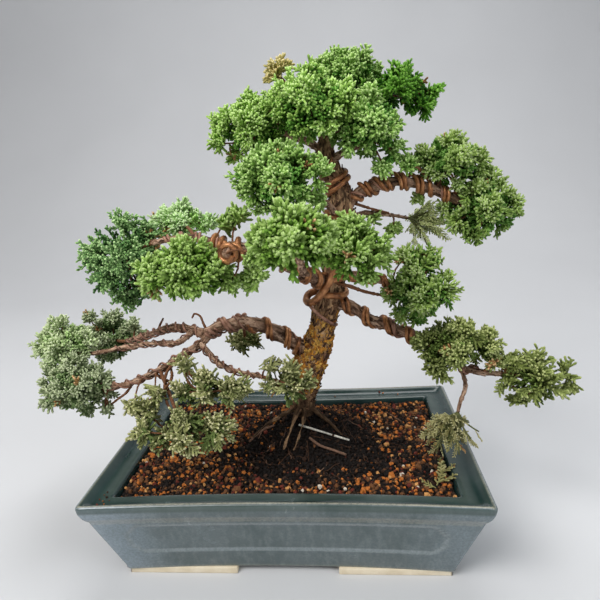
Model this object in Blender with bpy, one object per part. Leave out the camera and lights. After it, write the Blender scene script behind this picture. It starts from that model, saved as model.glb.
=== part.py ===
"""Juniper bonsai in a glazed rectangular pot.

Units are metres and +Z is up. +X runs along the pot's long side and the pot's front faces -Y.
The tree grows over the middle of the pot's underside. At the end an empty that carries every piece
is moved, so that the middle of the whole object's underside lies at the origin.
"""
import math
import random
from collections import namedtuple

import bmesh
import bpy
from mathutils import Matrix, Vector

MM = 0.001
GAP = 0.35
SEED = 7

# Pot, in millimetres: half sizes of the rim, and sections as (inset from the rim, height, corner radius)
RIM_HALF = (130.0, 92.5)
SIDE_BOW = 4.5
BASE_HEIGHT = 4.5
WALL_INSET_LOW = 20.0
WALL_INSET_HIGH = 4.8
WALL_CORNER = 4.5
LIP_UNDERSIDE = 51.0
PANEL_LOW = 18.0
PANEL_HIGH = 50.3
PANEL_FRAME = 3.0
PANEL_BEVEL = 1.0
PANEL_DEPTH = 0.9
RIM_TOP = 65.0
DISH_HEIGHT = 62.4
DISH_EDGE = 61.4
WELD = 0.004
OPENING_INSET = 19.3
OPENING_HEIGHT = 59.0
OPENING_CORNER = 3.0
FLOOR_INSET = 28.0
FLOOR_HEIGHT = 12.0
CORNER_STEPS = 2
CORNER_NORMAL = 0.15
SIDE_STEPS = 5
FOOT_LONG = 74.0
FOOT_SHORT = 40.0
FOOT_WIDTH = 11.0
FOOT_SUNK = 1.5
FOOT_SETBACK = 1.8

# Soil, in millimetres: the level at the wall and the mound round the trunk's foot
SOIL_GAP = 0.42
SOIL_EDGE = 57.5
SOIL_LEVEL = 59.0
MOUND_HEIGHT = 19.0
MOUND_REACH = (62.0, 52.0)
GROUND_CUT = 66.0
LUMP_PITCH = 13.4
LUMP_HEIGHT = 1.5
LUMP_DRIFT = 0.18
HEAP_TOP = 90.0

# Trunk, in millimetres: way points with the radius at each
TRUNK_FOOT = (9.0, 15.0)
TRUNK_ROUTE = (
    (8, 15, 60, 9.5), (9, 14, 80, 8.0), (10, 9, 98, 10.0), (14, 5, 117, 12.0), (21, 5, 134, 10.5),
    (26, 5, 150, 9.0), (31, 5, 168, 9.0), (35, 5, 186, 8.0), (34, 5, 208, 8.0), (40, 5, 229, 8.5),
    (43, 5, 242, 8.0), (38, 5, 257, 7.0), (33, 5, 272, 6.5), (37, 6, 288, 5.0), (42, 9, 303, 3.2),
)
ROOT_ROUTES = {
    "left": ((9, 13, 86, 5.0), (-3, 4, 82, 3.0), (-16, -3, 78, 2.3), (-29, -8, 68, 1.6)),
    "front_left": ((8, 12, 86, 5.0), (3, -2, 80, 2.6), (-1, -14, 73, 1.9), (-5, -25, 64, 1.5)),
    "front": ((10, 12, 86, 5.0), (10, -2, 80, 2.5), (7, -14, 73, 1.8), (2, -28, 63, 1.4)),
    "right": ((10, 14, 86, 5.0), (20, 8, 80, 3.2), (30, 2, 73, 2.5), (40, -3, 64, 1.7)),
    "back": ((9, 15, 86, 5.0), (4, 27, 80, 3.2), (-2, 38, 70, 2.3), (-6, 45, 63, 1.6)),
}

Limb = namedtuple("Limb", "carrier share thick thin route")
Wire = namedtuple("Wire", "limb first last turns radius turn_from")
Mass = namedtuple("Mass", "carrier share centre half sprays core")

# Boughs, arms and twigs, in millimetres: the carrier and where on it they start, radii, way points
LIMBS = {
    "lower_left_bough": Limb("trunk", 0.285, 5.6, 3.8, (
        (4, 1, 140), (-13, 0, 151), (-30, 0, 156), (-46, -1, 154), (-60, -4, 149))),
    "lower_left_back_arm": Limb("lower_left_bough", 1.0, 3.2, 2.0, (
        (-74, 2, 152), (-90, 11, 150), (-111, 24, 141), (-137, 38, 131))),
    "lower_left_outer_arm": Limb("lower_left_back_arm", 0.1, 2.2, 1.6, (
        (-80, -4, 143), (-96, 2, 141), (-118, 8, 137), (-156, 15, 129))),
    "lower_left_front_arm": Limb("lower_left_bough", 0.93, 3.0, 1.8, (
        (-62, -10, 143), (-76, -14, 136), (-96, -17, 125), (-117, -18, 117), (-137, -16, 114))),
    "lower_left_inner_arm": Limb("lower_left_front_arm", 0.13, 2.2, 1.5, (
        (-54, -15, 137), (-45, -20, 131), (-31, -25, 127), (-15, -29, 125))),
    "middle_left_bough": Limb("trunk", 0.497, 4.4, 3.4, (
        (21, -14, 191), (11, -28, 200), (-4, -38, 211), (-18, -42, 216), (-31, -40, 218))),
    "middle_left_arm": Limb("middle_left_bough", 1.0, 2.8, 1.8, (
        (-45, -34, 222), (-64, -26, 223), (-86, -19, 219))),
    "middle_left_stub": Limb("middle_left_bough", 0.78, 3.6, 3.2, (
        (-22, -52, 216), (-27, -62, 217))),
    "front_bough": Limb("middle_left_bough", 0.3, 2.2, 1.6, (
        (17, -46, 203), (18, -68, 212), (17, -90, 221))),
    "centre_bough": Limb("trunk", 0.59, 2.4, 1.7, (
        (42, -16, 204), (44, -34, 208), (46, -46, 211))),
    "upper_front_bough": Limb("trunk", 0.69, 2.6, 1.8, (
        (34, -14, 239), (25, -30, 247), (14, -42, 254))),
    "lower_right_bough": Limb("trunk", 0.44, 4.2, 3.0, (
        (46, 2, 166), (59, -3, 158), (74, -8, 153), (90, -14, 146), (107, -19, 138))),
    "lower_right_arm": Limb("lower_right_bough", 1.0, 2.6, 1.8, (
        (119, -22, 128), (131, -26, 125), (146, -29, 124))),
    "lower_right_hanging_twig": Limb("lower_right_arm", 0.4, 1.5, 1.2, (
        (122, -31, 117), (118, -36, 108), (116, -38, 101))),
    "middle_right_bough": Limb("trunk", 0.515, 2.8, 2.0, (
        (50, -6, 190), (62, -13, 189), (76, -17, 185))),
    "middle_back_bough": Limb("trunk", 0.545, 2.8, 1.9, (
        (34, 22, 194), (32, 37, 197), (31, 48, 199))),
    "upper_right_bough": Limb("trunk", 0.695, 4.0, 3.0, (
        (54, 4, 245), (65, 4, 249), (80, 4, 252), (95, 6, 249), (110, 8, 243), (124, 10, 236))),
    "upper_right_twig": Limb("trunk", 0.665, 1.8, 1.3, (
        (56, 14, 230), (74, 21, 228), (91, 26, 224))),
    "crown_left_bough": Limb("trunk", 0.87, 3.0, 2.0, (
        (22, 4, 280), (8, 3, 286), (-4, 1, 290))),
    "crown_right_bough": Limb("trunk", 0.9, 2.8, 1.9, (
        (50, 10, 292), (63, 15, 302), (72, 18, 308))),
    "crown_front_bough": Limb("trunk", 0.845, 2.6, 1.8, (
        (46, -2, 273), (57, -8, 277), (63, -12, 283))),
}

# Masses of foliage, in millimetres: carrier, where on it the stem starts, centre, half size, number of
# sprays and the share of the half size that a solid core takes (0 where the mass is open)
MASSES = {
    "crown_left": Mass("crown_left_bough", 1.0, (-13, 0, 291), (33, 29, 24), 10, 0.64),
    "crown_front": Mass("trunk", 0.9, (25, -22, 300), (31, 27, 29), 11, 0.66),
    "crown_top": Mass("trunk", 1.0, (46, 36, 322), (33, 32, 26), 11, 0.68),
    "crown_right": Mass("crown_right_bough", 1.0, (82, 18, 308), (31, 28, 21), 10, 0.64),
    "crown_right_front": Mass("crown_front_bough", 1.0, (62, -13, 286), (27, 25, 27), 10, 0.66),
    "crown_back": Mass("trunk", 0.93, (12, 42, 299), (33, 31, 26), 10, 0.66),
    "upper_front": Mass("upper_front_bough", 1.0, (7, -51, 258), (32, 27, 23), 10, 0.64),
    "upper_right": Mass("upper_right_bough", 0.8, (116, 10, 262), (31, 26, 21), 10, 0.64),
    "upper_right_tip": Mass("upper_right_bough", 1.0, (139, 11, 230), (31, 27, 27), 11, 0.64),
    "upper_right_fan": Mass("upper_right_twig", 1.0, (106, 30, 217), (17, 16, 18), 7, 0.0),
    "front_mass": Mass("front_bough", 1.0, (17, -108, 229), (24, 21, 21), 10, 0.64),
    "centre": Mass("centre_bough", 1.0, (47, -60, 214), (25, 21, 24), 10, 0.64),
    "middle_left_tip": Mass("middle_left_arm", 1.0, (-109, -10, 206), (32, 27, 35), 11, 0.62),
    "middle_left_back": Mass("middle_left_arm", 0.4, (-76, 27, 226), (27, 25, 18), 9, 0.62),
    "middle_left_front": Mass("middle_left_arm", 0.5, (-54, -57, 205), (32, 23, 24), 10, 0.64),
    "middle_right": Mass("middle_right_bough", 1.0, (92, -20, 179), (27, 24, 27), 10, 0.64),
    "middle_back": Mass("middle_back_bough", 1.0, (30, 66, 202), (28, 26, 20), 9, 0.64),
    "lower_right": Mass("lower_right_bough", 0.85, (116, -29, 144), (30, 26, 20), 10, 0.62),
    "lower_right_tip": Mass("lower_right_arm", 1.0, (169, -30, 121), (31, 24, 20), 10, 0.6),
    "lower_right_hanging": Mass("lower_right_hanging_twig", 1.0, (111, -40, 86), (20, 15, 18), 7, 0.0),
    "lower_left_tip": Mass("lower_left_outer_arm", 1.0, (-178, 18, 134), (27, 25, 27), 10, 0.64),
    "lower_left_back": Mass("lower_left_back_arm", 1.0, (-157, 61, 126), (27, 26, 26), 10, 0.64),
    "lower_left_front": Mass("lower_left_front_arm", 1.0, (-157, -14, 113), (30, 25, 25), 10, 0.62),
    "inner_left_upper": Mass("lower_left_front_arm", 0.36, (-50, -46, 121), (26, 18, 18), 9, 0.58),
    "inner_left_lower": Mass("lower_left_front_arm", 0.5, (-64, -61, 99), (36, 22, 20), 10, 0.58),
    "inner_front_tuft": Mass("lower_left_inner_arm", 1.0, (4, -33, 120), (19, 15, 19), 8, 0.6),
    "inner_back_tuft": Mass("lower_left_bough", 0.66, (-37, 33, 130), (14, 15, 16), 6, 0.0),
}

# Training wires, in millimetres: limb, first and last share of it, turns, radius, starting angle
WIRES = {
    "trunk_wire_upper": Wire("trunk", 0.745, 0.83, 1.7, 1.7, 0.0),
    "trunk_wire_upper_pair": Wire("trunk", 0.764, 0.849, 1.7, 1.7, 0.0),
    "trunk_wire_middle": Wire("trunk", 0.607, 0.652, 1.4, 1.7, 90.0),
    "lower_left_wire": Wire("lower_left_bough", 0.24, 0.58, 3.0, 1.5, 0.0),
    "middle_left_wire": Wire("middle_left_bough", 0.47, 0.68, 1.8, 1.5, 40.0),
    "stub_wire": Wire("middle_left_stub", 0.52, 0.9, 1.6, 1.4, 0.0),
    "lower_right_wire": Wire("lower_right_bough", 0.16, 0.78, 5.0, 1.4, 20.0),
    "upper_right_wire": Wire("upper_right_bough", 0.25, 0.69, 4.0, 1.5, 60.0),
}

# Grain of the model: spacing of rings in millimetres, and sides of the round pieces
RING_SPACING = 8.5
TRUNK_SIDES = 10
ROOT_SIDES = 6
LIMB_SIDES = 6
WIRE_SIDES = 5
WIRE_STEPS = 7
WIRE_GAP = 0.45
WRAP_STEPS = 6
STEM_SIDES = 4
STEM_RADIUS = 1.4
STEM_TIP_RADIUS = 0.8
STEM_SHARE = 0.9
STEM_BEND = 0.45
STEM_LEAD = 0.12
STEM_RISE = 0.2
TWIG_RADIUS = 0.85
TWIG_TIP_RADIUS = 0.5
TWIG_SUNK = 0.3
MAIN_DIRECTIONS = ((0, 0, 1), (-1, 0, 0.1), (1, 0, 0.1), (0, -1, 0.1), (0, 1, 0.1))
HIGHEST_TURN = 0.92
LOWEST_TURN = -0.8
MAIN_JITTER = 0.05
TURN_JITTER = 0.22
SPRAY_LEAN = 0.16
CORE_ROUGHNESS = (0.72, 1.25)
SMALLEST_CORE = 0.12
CORE_STEP = 0.03
SPRAY_REACH = 0.99
SPRAY_TRIES = (1.0, 0.85, 0.7)
OPEN_ROOT_SHARE = 0.4
CORE_ROOT_SHARE = 0.72
SPRAY_POINTS = 3
SPRAY_SPREAD = 0.5
NOTCH_HEIGHT = 0.52
NOTCH_SPREAD = 0.26
DIMPLE_HEIGHT = 0.6
SPACE_SLACK = 0.06
LIMB_ROOM = 1.6
NEARBY = 4.0

MATERIALS = {
    "bark": ((0.16, 0.10, 0.065, 1), 0.9, 0.0),
    "foliage": ((0.10, 0.17, 0.05, 1), 0.75, 0.0),
    "glaze": ((0.035, 0.075, 0.08, 1), 0.25, 0.0),
    "soil": ((0.11, 0.05, 0.025, 1), 0.95, 0.0),
    "training_wire": ((0.30, 0.14, 0.06, 1), 0.4, 1.0),
}


def clear_scene():
    for item in list(bpy.data.objects):
        bpy.data.objects.remove(item, do_unlink=True)


def make_material(name):
    colour, roughness, metallic = MATERIALS[name]
    material = bpy.data.materials.new(name)
    material.use_nodes = True
    shader = material.node_tree.nodes["Principled BSDF"]
    shader.inputs["Base Color"].default_value = colour
    shader.inputs["Roughness"].default_value = roughness
    shader.inputs["Metallic"].default_value = metallic
    return material


def new_object(name, mesh):
    item = bpy.data.objects.new(name, mesh)
    bpy.context.scene.collection.objects.link(item)
    return item


def object_from(name, bm):
    mesh = bpy.data.meshes.new(name)
    bm.to_mesh(mesh)
    bm.free()
    return new_object(name, mesh)


def move_to(item, collection):
    for owner in list(item.users_collection):
        owner.objects.unlink(item)
    collection.objects.link(item)


def discard(item):
    data = item.data
    bpy.data.objects.remove(item, do_unlink=True)
    if isinstance(data, bpy.types.Curve):
        bpy.data.curves.remove(data)
    else:
        bpy.data.meshes.remove(data)


def evaluated_mesh(item):
    graph = bpy.context.evaluated_depsgraph_get()
    return bpy.data.meshes.new_from_object(item.evaluated_get(graph))


def settle(item):
    """Replaces an object's mesh by what its modifiers make of it."""
    mesh = evaluated_mesh(item)
    item.modifiers.clear()
    old = item.data
    item.data = mesh
    bpy.data.meshes.remove(old)


def combine(item, others, operation):
    """Applies one Boolean of an object with a collection of others, which are then removed."""
    tools = bpy.data.collections.new("tools")
    bpy.context.scene.collection.children.link(tools)
    for other in others:
        move_to(other, tools)
    modifier = item.modifiers.new(operation.lower(), "BOOLEAN")
    modifier.operation = operation
    modifier.operand_type = "COLLECTION"
    modifier.collection = tools
    modifier.solver = "EXACT"
    settle(item)
    for other in others:
        discard(other)
    bpy.data.collections.remove(tools)


def islands(bm):
    """The separate shells of a mesh, each as a list of its faces."""
    unseen = set(bm.faces)
    shells = []
    while unseen:
        front = [unseen.pop()]
        shell = []
        while front:
            face = front.pop()
            shell.append(face)
            for edge in face.edges:
                for neighbour in edge.link_faces:
                    if neighbour in unseen:
                        unseen.remove(neighbour)
                        front.append(neighbour)
        shells.append(shell)
    return shells


def shell_volume(faces):
    total = 0.0
    for face in faces:
        corners = [corner.vert.co for corner in face.loops]
        for second, third in zip(corners[1:], corners[2:]):
            total += corners[0].dot(second.cross(third)) / 6
    return total


def keep_main_shell(item):
    """Drops loose scraps and the walls of sealed hollows, so that one solid is left."""
    bm = bmesh.new()
    bm.from_mesh(item.data)
    bmesh.ops.triangulate(bm, faces=bm.faces)
    bmesh.ops.remove_doubles(bm, verts=bm.verts, dist=WELD * MM)
    bmesh.ops.dissolve_degenerate(bm, edges=bm.edges, dist=WELD * MM)
    bmesh.ops.triangulate(bm, faces=bm.faces)
    shells = sorted(islands(bm), key=shell_volume, reverse=True)
    scrap = [face for shell in shells[1:] for face in shell]
    bmesh.ops.delete(bm, geom=scrap, context="FACES")
    bm.to_mesh(item.data)
    bm.free()


def smooth_path(points, spacing):
    """Points about one spacing apart on a Catmull-Rom curve through points of any dimension."""
    rows = [Vector(point) for point in points]
    ends = [rows[0] * 2 - rows[1]] + rows + [rows[-1] * 2 - rows[-2]]
    path = []
    for before, start, end, after in zip(ends, ends[1:], ends[2:], ends[3:]):
        steps = max(1, round((end - start).to_3d().length / spacing))
        for step in range(steps):
            t = step / steps
            bend = (end - before) * t + (before * 2 - start * 5 + end * 4 - after) * t ** 2
            bend += (start * 3 - before - end * 3 + after) * t ** 3
            path.append(start + bend / 2)
    path.append(rows[-1])
    return path


class Path:
    """A limb's centre line in metres, with the radius at each point."""

    def __init__(self, rows):
        self.points = [row.to_3d() * MM for row in rows]
        self.radii = [row[3] * MM for row in rows]
        self.lengths = [0.0]
        for start, end in zip(self.points, self.points[1:]):
            self.lengths.append(self.lengths[-1] + (end - start).length)

    def at(self, share):
        """Position, radius and direction at a share of the length."""
        target = share * self.lengths[-1]
        for index in range(len(self.points) - 1):
            if self.lengths[index + 1] >= target or index == len(self.points) - 2:
                span = self.lengths[index + 1] - self.lengths[index]
                t = (target - self.lengths[index]) / span
                start, end = self.points[index], self.points[index + 1]
                radius = self.radii[index] * (1 - t) + self.radii[index + 1] * t
                return start.lerp(end, t), radius, (end - start).normalized()

    def clearance(self, point):
        """Distance from a point to the limb's surface."""
        best = 1.0
        for index in range(len(self.points) - 1):
            start = self.points[index]
            axis = self.points[index + 1] - start
            t = max(0.0, min(1.0, (point - start).dot(axis) / axis.length_squared))
            radius = self.radii[index] * (1 - t) + self.radii[index + 1] * t
            best = min(best, (point - start - axis * t).length - radius)
        return best

    def near(self, low, high, margin):
        """Whether any point of the path lies in a box that is widened by a margin."""
        for point, radius in zip(self.points, self.radii):
            room = margin + radius
            if all(a - room <= value <= b + room for a, value, b in zip(low, point, high)):
                return True
        return False

    def box(self):
        """The lowest and highest corner of the path's centre line."""
        low = [min(point[axis] for point in self.points) for axis in range(3)]
        high = [max(point[axis] for point in self.points) for axis in range(3)]
        return low, high

    def sleeve(self, extra):
        """The same path, thicker all round and longer at both ends by one clearance."""
        head = (self.points[0] - self.points[1]).normalized() * extra
        tail = (self.points[-1] - self.points[-2]).normalized() * extra
        points = [self.points[0] + head] + self.points[1:-1] + [self.points[-1] + tail]
        return points, [radius + extra for radius in self.radii]


def tube(name, points, radii, sides):
    """A closed tube along points, with its radius given at each, made a mesh from a bevelled curve."""
    curve = bpy.data.curves.new(name, "CURVE")
    curve.dimensions = "3D"
    curve.bevel_depth = 1.0
    curve.bevel_resolution = (sides - 4) // 2
    curve.use_fill_caps = True
    spline = curve.splines.new("POLY")
    spline.points.add(len(points) - 1)
    for knot, point, radius in zip(spline.points, points, radii):
        knot.co = (*point, 1.0)
        knot.radius = radius
    line = new_object(name + "_line", curve)
    mesh = evaluated_mesh(line)
    discard(line)
    bm = bmesh.new()
    bm.from_mesh(mesh)
    bmesh.ops.remove_doubles(bm, verts=bm.verts, dist=0.01 * MM)
    bmesh.ops.recalc_face_normals(bm, faces=bm.faces)
    bm.to_mesh(mesh)
    bm.free()
    mesh.name = name
    return new_object(name, mesh)


def section(inset, height, corner):
    """The points of one level of the pot: a rounded rectangle whose long sides bow inwards."""
    half_x, half_y = RIM_HALF[0] - inset, RIM_HALF[1] - inset
    points = []
    for quadrant, (sign_x, sign_y) in enumerate(((1, 1), (-1, 1), (-1, -1), (1, -1))):
        for step in range(CORNER_STEPS + 1):
            angle = math.radians(90 * (quadrant + step / CORNER_STEPS))
            points.append((sign_x * (half_x - corner) + corner * math.cos(angle),
                           sign_y * (half_y - corner) + corner * math.sin(angle)))
        if quadrant in (0, 2):
            straight = 2 * (half_x - corner)
            for step in range(1, SIDE_STEPS):
                along = sign_x * (half_x - corner - straight * step / SIDE_STEPS)
                points.append((along, sign_y * half_y))
    ring = []
    for x, y in points:
        bow = SIDE_BOW * (1 - (x / half_x) ** 2) * abs(y) / half_y
        ring.append(Vector((x, y - math.copysign(bow, y), height)) * MM)
    return ring


def loft(rings):
    """A solid through rings of equal length, bridged one to the next and capped."""
    bm = bmesh.new()
    levels = [[bm.verts.new(point) for point in ring] for ring in rings]
    for lower, upper in zip(levels, levels[1:]):
        for index in range(len(lower)):
            following = (index + 1) % len(lower)
            bm.faces.new((lower[index], lower[following], upper[following], upper[index]))
    bm.faces.new(list(reversed(levels[0])))
    bm.faces.new(levels[-1])
    bm.normal_update()
    return bm


def block(low, high):
    """A box between two corners, in millimetres."""
    bpy.ops.mesh.primitive_cube_add(size=1.0)
    item = bpy.context.active_object
    size = [(b - a) * MM for a, b in zip(low, high)]
    middle = [(a + b) / 2 * MM for a, b in zip(low, high)]
    item.data.transform(Matrix.Translation(middle) @ Matrix.Diagonal((*size, 1.0)))
    return item


def make_pot():
    """Sloping walls with a shallow panel on each side, a heavy dished lip, and four angled feet."""
    wall_slope = (WALL_INSET_LOW - WALL_INSET_HIGH) / (LIP_UNDERSIDE - BASE_HEIGHT)
    panel_insets = [WALL_INSET_LOW - wall_slope * (z - BASE_HEIGHT) for z in (PANEL_LOW, PANEL_HIGH)]
    sections = (
        (WALL_INSET_LOW, BASE_HEIGHT, WALL_CORNER), (panel_insets[0], PANEL_LOW, WALL_CORNER),
        (panel_insets[1], PANEL_HIGH, WALL_CORNER), (WALL_INSET_HIGH, LIP_UNDERSIDE, WALL_CORNER),
        (1.6, LIP_UNDERSIDE + 5.5, 3.5), (0.0, LIP_UNDERSIDE + 10, 3.5), (0.0, RIM_TOP - 1.5, 3.5),
        (1.4, RIM_TOP, 3.0), (3.4, RIM_TOP, 2.5), (7.0, DISH_HEIGHT, 4.0),
        (OPENING_INSET - 2, DISH_EDGE, OPENING_CORNER),
        (OPENING_INSET, OPENING_HEIGHT, OPENING_CORNER), (FLOOR_INSET, FLOOR_HEIGHT, OPENING_CORNER),
    )
    bm = loft([section(*row) for row in sections])
    panels = []
    for face in bm.faces:
        heights = [vert.co.z / MM for vert in face.verts]
        on_panel = abs(min(heights) - PANEL_LOW) < 0.1 and abs(max(heights) - PANEL_HIGH) < 0.1
        if on_panel and min(abs(face.normal.x), abs(face.normal.y)) < CORNER_NORMAL:
            panels.append(face)
    bmesh.ops.inset_region(bm, faces=panels, thickness=PANEL_FRAME * MM)
    bmesh.ops.inset_region(bm, faces=panels, thickness=PANEL_BEVEL * MM, depth=-PANEL_DEPTH * MM)
    pot = object_from("pot", bm)
    half_x = RIM_HALF[0] - WALL_INSET_LOW - FOOT_SETBACK
    half_y = RIM_HALF[1] - WALL_INSET_LOW - FOOT_SETBACK
    feet = []
    for sign_x in (-1, 1):
        for sign_y in (-1, 1):
            for run_x, run_y in ((FOOT_LONG, FOOT_WIDTH), (FOOT_WIDTH, FOOT_SHORT)):
                ends_x = sorted((sign_x * half_x, sign_x * (half_x - run_x)))
                ends_y = sorted((sign_y * half_y, sign_y * (half_y - run_y)))
                feet.append(block((ends_x[0], ends_y[0], 0.0),
                                  (ends_x[1], ends_y[1], BASE_HEIGHT + FOOT_SUNK)))
    combine(pot, feet, "UNION")
    keep_main_shell(pot)
    return pot


def ground(x, y):
    """Height of the soil in millimetres: small heaps in rows, and a mound at the trunk's foot."""
    away = math.hypot((x - TRUNK_FOOT[0]) / MOUND_REACH[0], (y - TRUNK_FOOT[1]) / MOUND_REACH[1])
    swell = math.cos(math.pi / 2 * min(1.0, away)) ** 2
    drift = LUMP_DRIFT * math.sin((x + y) / (2 * LUMP_PITCH))
    heap = math.cos(math.pi * (x / LUMP_PITCH + drift)) * math.cos(math.pi * (y / LUMP_PITCH - drift))
    return SOIL_LEVEL + MOUND_HEIGHT * swell + LUMP_HEIGHT / 2 * heap


def make_heaps():
    """A block over the whole opening whose top is the heaped ground, sampled at the heaps' pitch."""
    columns = math.ceil(RIM_HALF[0] / LUMP_PITCH)
    rows = math.ceil(RIM_HALF[1] / LUMP_PITCH)
    bm = bmesh.new()
    bmesh.ops.create_grid(bm, x_segments=2 * columns, y_segments=2 * rows, size=0.5)
    for vert in bm.verts:
        x, y = vert.co.x * 2 * columns * LUMP_PITCH, vert.co.y * 2 * rows * LUMP_PITCH
        vert.co = Vector((x, y, ground(x, y))) * MM
    base = bmesh.ops.extrude_face_region(bm, geom=bm.faces[:])
    for item in base["geom"]:
        if isinstance(item, bmesh.types.BMVert):
            item.co.z = 0.0
    bmesh.ops.recalc_face_normals(bm, faces=bm.faces)
    return object_from("heaps", bm)


def make_soil(trunk_cutter):
    """Fills the pot up to its lip, in small heaps and a mound that the trunk's roots are set in."""
    slope = (FLOOR_INSET - OPENING_INSET) / (OPENING_HEIGHT - FLOOR_HEIGHT)
    rings = []
    for height in (FLOOR_HEIGHT + GAP, SOIL_EDGE):
        inset = OPENING_INSET + slope * (OPENING_HEIGHT - height) + SOIL_GAP
        rings.append(section(inset, height, OPENING_CORNER))
    rings.append([point + Vector((0, 0, (HEAP_TOP - SOIL_EDGE) * MM)) for point in rings[-1]])
    soil = object_from("soil", loft(rings))
    combine(soil, [make_heaps()], "INTERSECT")
    combine(soil, [trunk_cutter], "DIFFERENCE")
    keep_main_shell(soil)
    return soil


def cut_flat(item, height):
    """Cuts everything below a height away and closes the cut."""
    bm = bmesh.new()
    bm.from_mesh(item.data)
    cut = bmesh.ops.bisect_plane(bm, geom=bm.verts[:] + bm.edges[:] + bm.faces[:], dist=0.001 * MM,
                                 plane_co=(0, 0, height * MM), plane_no=(0, 0, 1), clear_inner=True)
    rim = [part for part in cut["geom_cut"] if isinstance(part, bmesh.types.BMEdge)]
    bmesh.ops.holes_fill(bm, edges=rim)
    bmesh.ops.recalc_face_normals(bm, faces=bm.faces)
    bm.to_mesh(item.data)
    bm.free()


def make_trunk(name, paths, extra, cut_height):
    """The trunk from its root flare to its tip as one solid, thicker all round by an extra."""
    pieces = [tube(name, *paths["trunk"].sleeve(extra), TRUNK_SIDES)]
    for root, route in ROOT_ROUTES.items():
        path = Path(smooth_path(route, RING_SPACING))
        pieces.append(tube(name + "_root_" + root, *path.sleeve(extra), ROOT_SIDES))
    trunk, *roots = pieces
    combine(trunk, roots, "UNION")
    cut_flat(trunk, cut_height)
    keep_main_shell(trunk)
    return trunk


def lay_out_limbs():
    """Centre lines of the trunk and of every limb, each starting inside the one that carries it."""
    paths = {"trunk": Path(smooth_path(TRUNK_ROUTE, RING_SPACING))}
    for name, limb in LIMBS.items():
        start = paths[limb.carrier].at(limb.share)[0] / MM
        way = [start] + [Vector(point) for point in limb.route]
        rows = []
        for index, point in enumerate(way):
            t = index / (len(way) - 1)
            rows.append((*point, limb.thick * (1 - t) + limb.thin * t))
        paths[name] = Path(smooth_path(rows, RING_SPACING))
    return paths


def lay_out_stems(paths):
    """The stem of each mass, from its carrier to the heart of the mass."""
    stems = {}
    for name, mass in MASSES.items():
        start, radius, direction = paths[mass.carrier].at(mass.share)
        start, heart = start / MM, Vector(mass.centre)
        lead = direction if mass.share == 1.0 else Vector((0, 0, STEM_RISE))
        middle = start.lerp(heart, STEM_BEND) + lead * STEM_LEAD * (heart - start).length
        thick = min(STEM_RADIUS, STEM_SHARE * radius / MM)
        rows = ((*start, thick), (*middle, thick * STEM_SHARE), (*heart, STEM_TIP_RADIUS))
        stems[name] = Path(smooth_path(rows, RING_SPACING))
    return stems


def lay_out_wraps(paths):
    """The space that each wire takes round its limb, as a thicker stretch of the limb."""
    wraps = {}
    for name, wire in WIRES.items():
        rows = []
        overhang = (wire.radius + GAP) * MM / paths[wire.limb].lengths[-1]
        first, last = wire.first - overhang, wire.last + overhang
        for step in range(WRAP_STEPS + 1):
            share = first + (last - first) * step / WRAP_STEPS
            point, radius, _ = paths[wire.limb].at(share)
            rows.append(Vector((*(point / MM), radius / MM + 2 * wire.radius + 2 * GAP)))
        wraps[name] = Path(rows)
    return wraps


def sides_of(name):
    return TRUNK_SIDES if name == "trunk" else LIMB_SIDES


def make_limb(name, limb, paths):
    """One tapering limb, its foot cut to fit its carrier and clear of the limbs before it."""
    path = paths[name]
    item = tube(name, path.points, path.radii, LIMB_SIDES)
    cutters = []
    for other in list(LIMBS)[:list(LIMBS).index(name)] + ["trunk"]:
        if other == limb.carrier or paths[other].near(*path.box(), NEARBY * MM):
            cutters.append(tube("cutter", *paths[other].sleeve(GAP * MM), sides_of(other)))
    combine(item, cutters, "DIFFERENCE")
    keep_main_shell(item)
    return item


def make_wire(wire, name, paths):
    """A wire wound round a limb as a helix that clears it by one gap."""
    path = paths[wire.limb]
    steps = round(wire.turns * WIRE_STEPS)
    side = path.at(wire.first)[2].orthogonal().normalized()
    points = []
    for step in range(steps + 1):
        t = step / steps
        centre, radius, direction = path.at(wire.first + (wire.last - wire.first) * t)
        side = (side - direction * side.dot(direction)).normalized()
        other = direction.cross(side)
        angle = math.radians(wire.turn_from) + t * wire.turns * math.tau
        away = (radius + (wire.radius + WIRE_GAP) * MM) / math.cos(math.pi / WIRE_STEPS)
        points.append(centre + (side * math.cos(angle) + other * math.sin(angle)) * away)
    return tube(name, points, [wire.radius * MM] * len(points), WIRE_SIDES)


def depth_in(mass, point):
    """Distance from a mass's centre as a share of its half size in that direction."""
    offset = point / MM - Vector(mass.centre)
    return Vector(part / half for part, half in zip(offset, mass.half)).length


def in_own_space(name, point, slack):
    """Whether a point lies in a mass's ellipsoid, nearer to its middle than to any other's."""
    own = depth_in(MASSES[name], point)
    if own > 1.0:
        return False
    return all(own + slack < depth_in(other, point) for key, other in MASSES.items() if key != name)


def even_directions(count, rng):
    """Directions up and to the four sides, then more spread over a sphere by the golden angle."""
    directions = [Vector(axis) for axis in MAIN_DIRECTIONS]
    golden = math.pi * (3 - math.sqrt(5))
    turn = rng.uniform(0, math.tau)
    rest = count - len(directions)
    for index in range(rest):
        z = HIGHEST_TURN - (HIGHEST_TURN - LOWEST_TURN) * (index + 0.5) / rest
        level = math.sqrt(1 - z * z)
        angle = turn + golden * index
        directions.append(Vector((math.cos(angle) * level, math.sin(angle) * level, z)))
    return directions


def scatter(rng):
    return Vector(rng.uniform(-1, 1) for _ in range(3))


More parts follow.
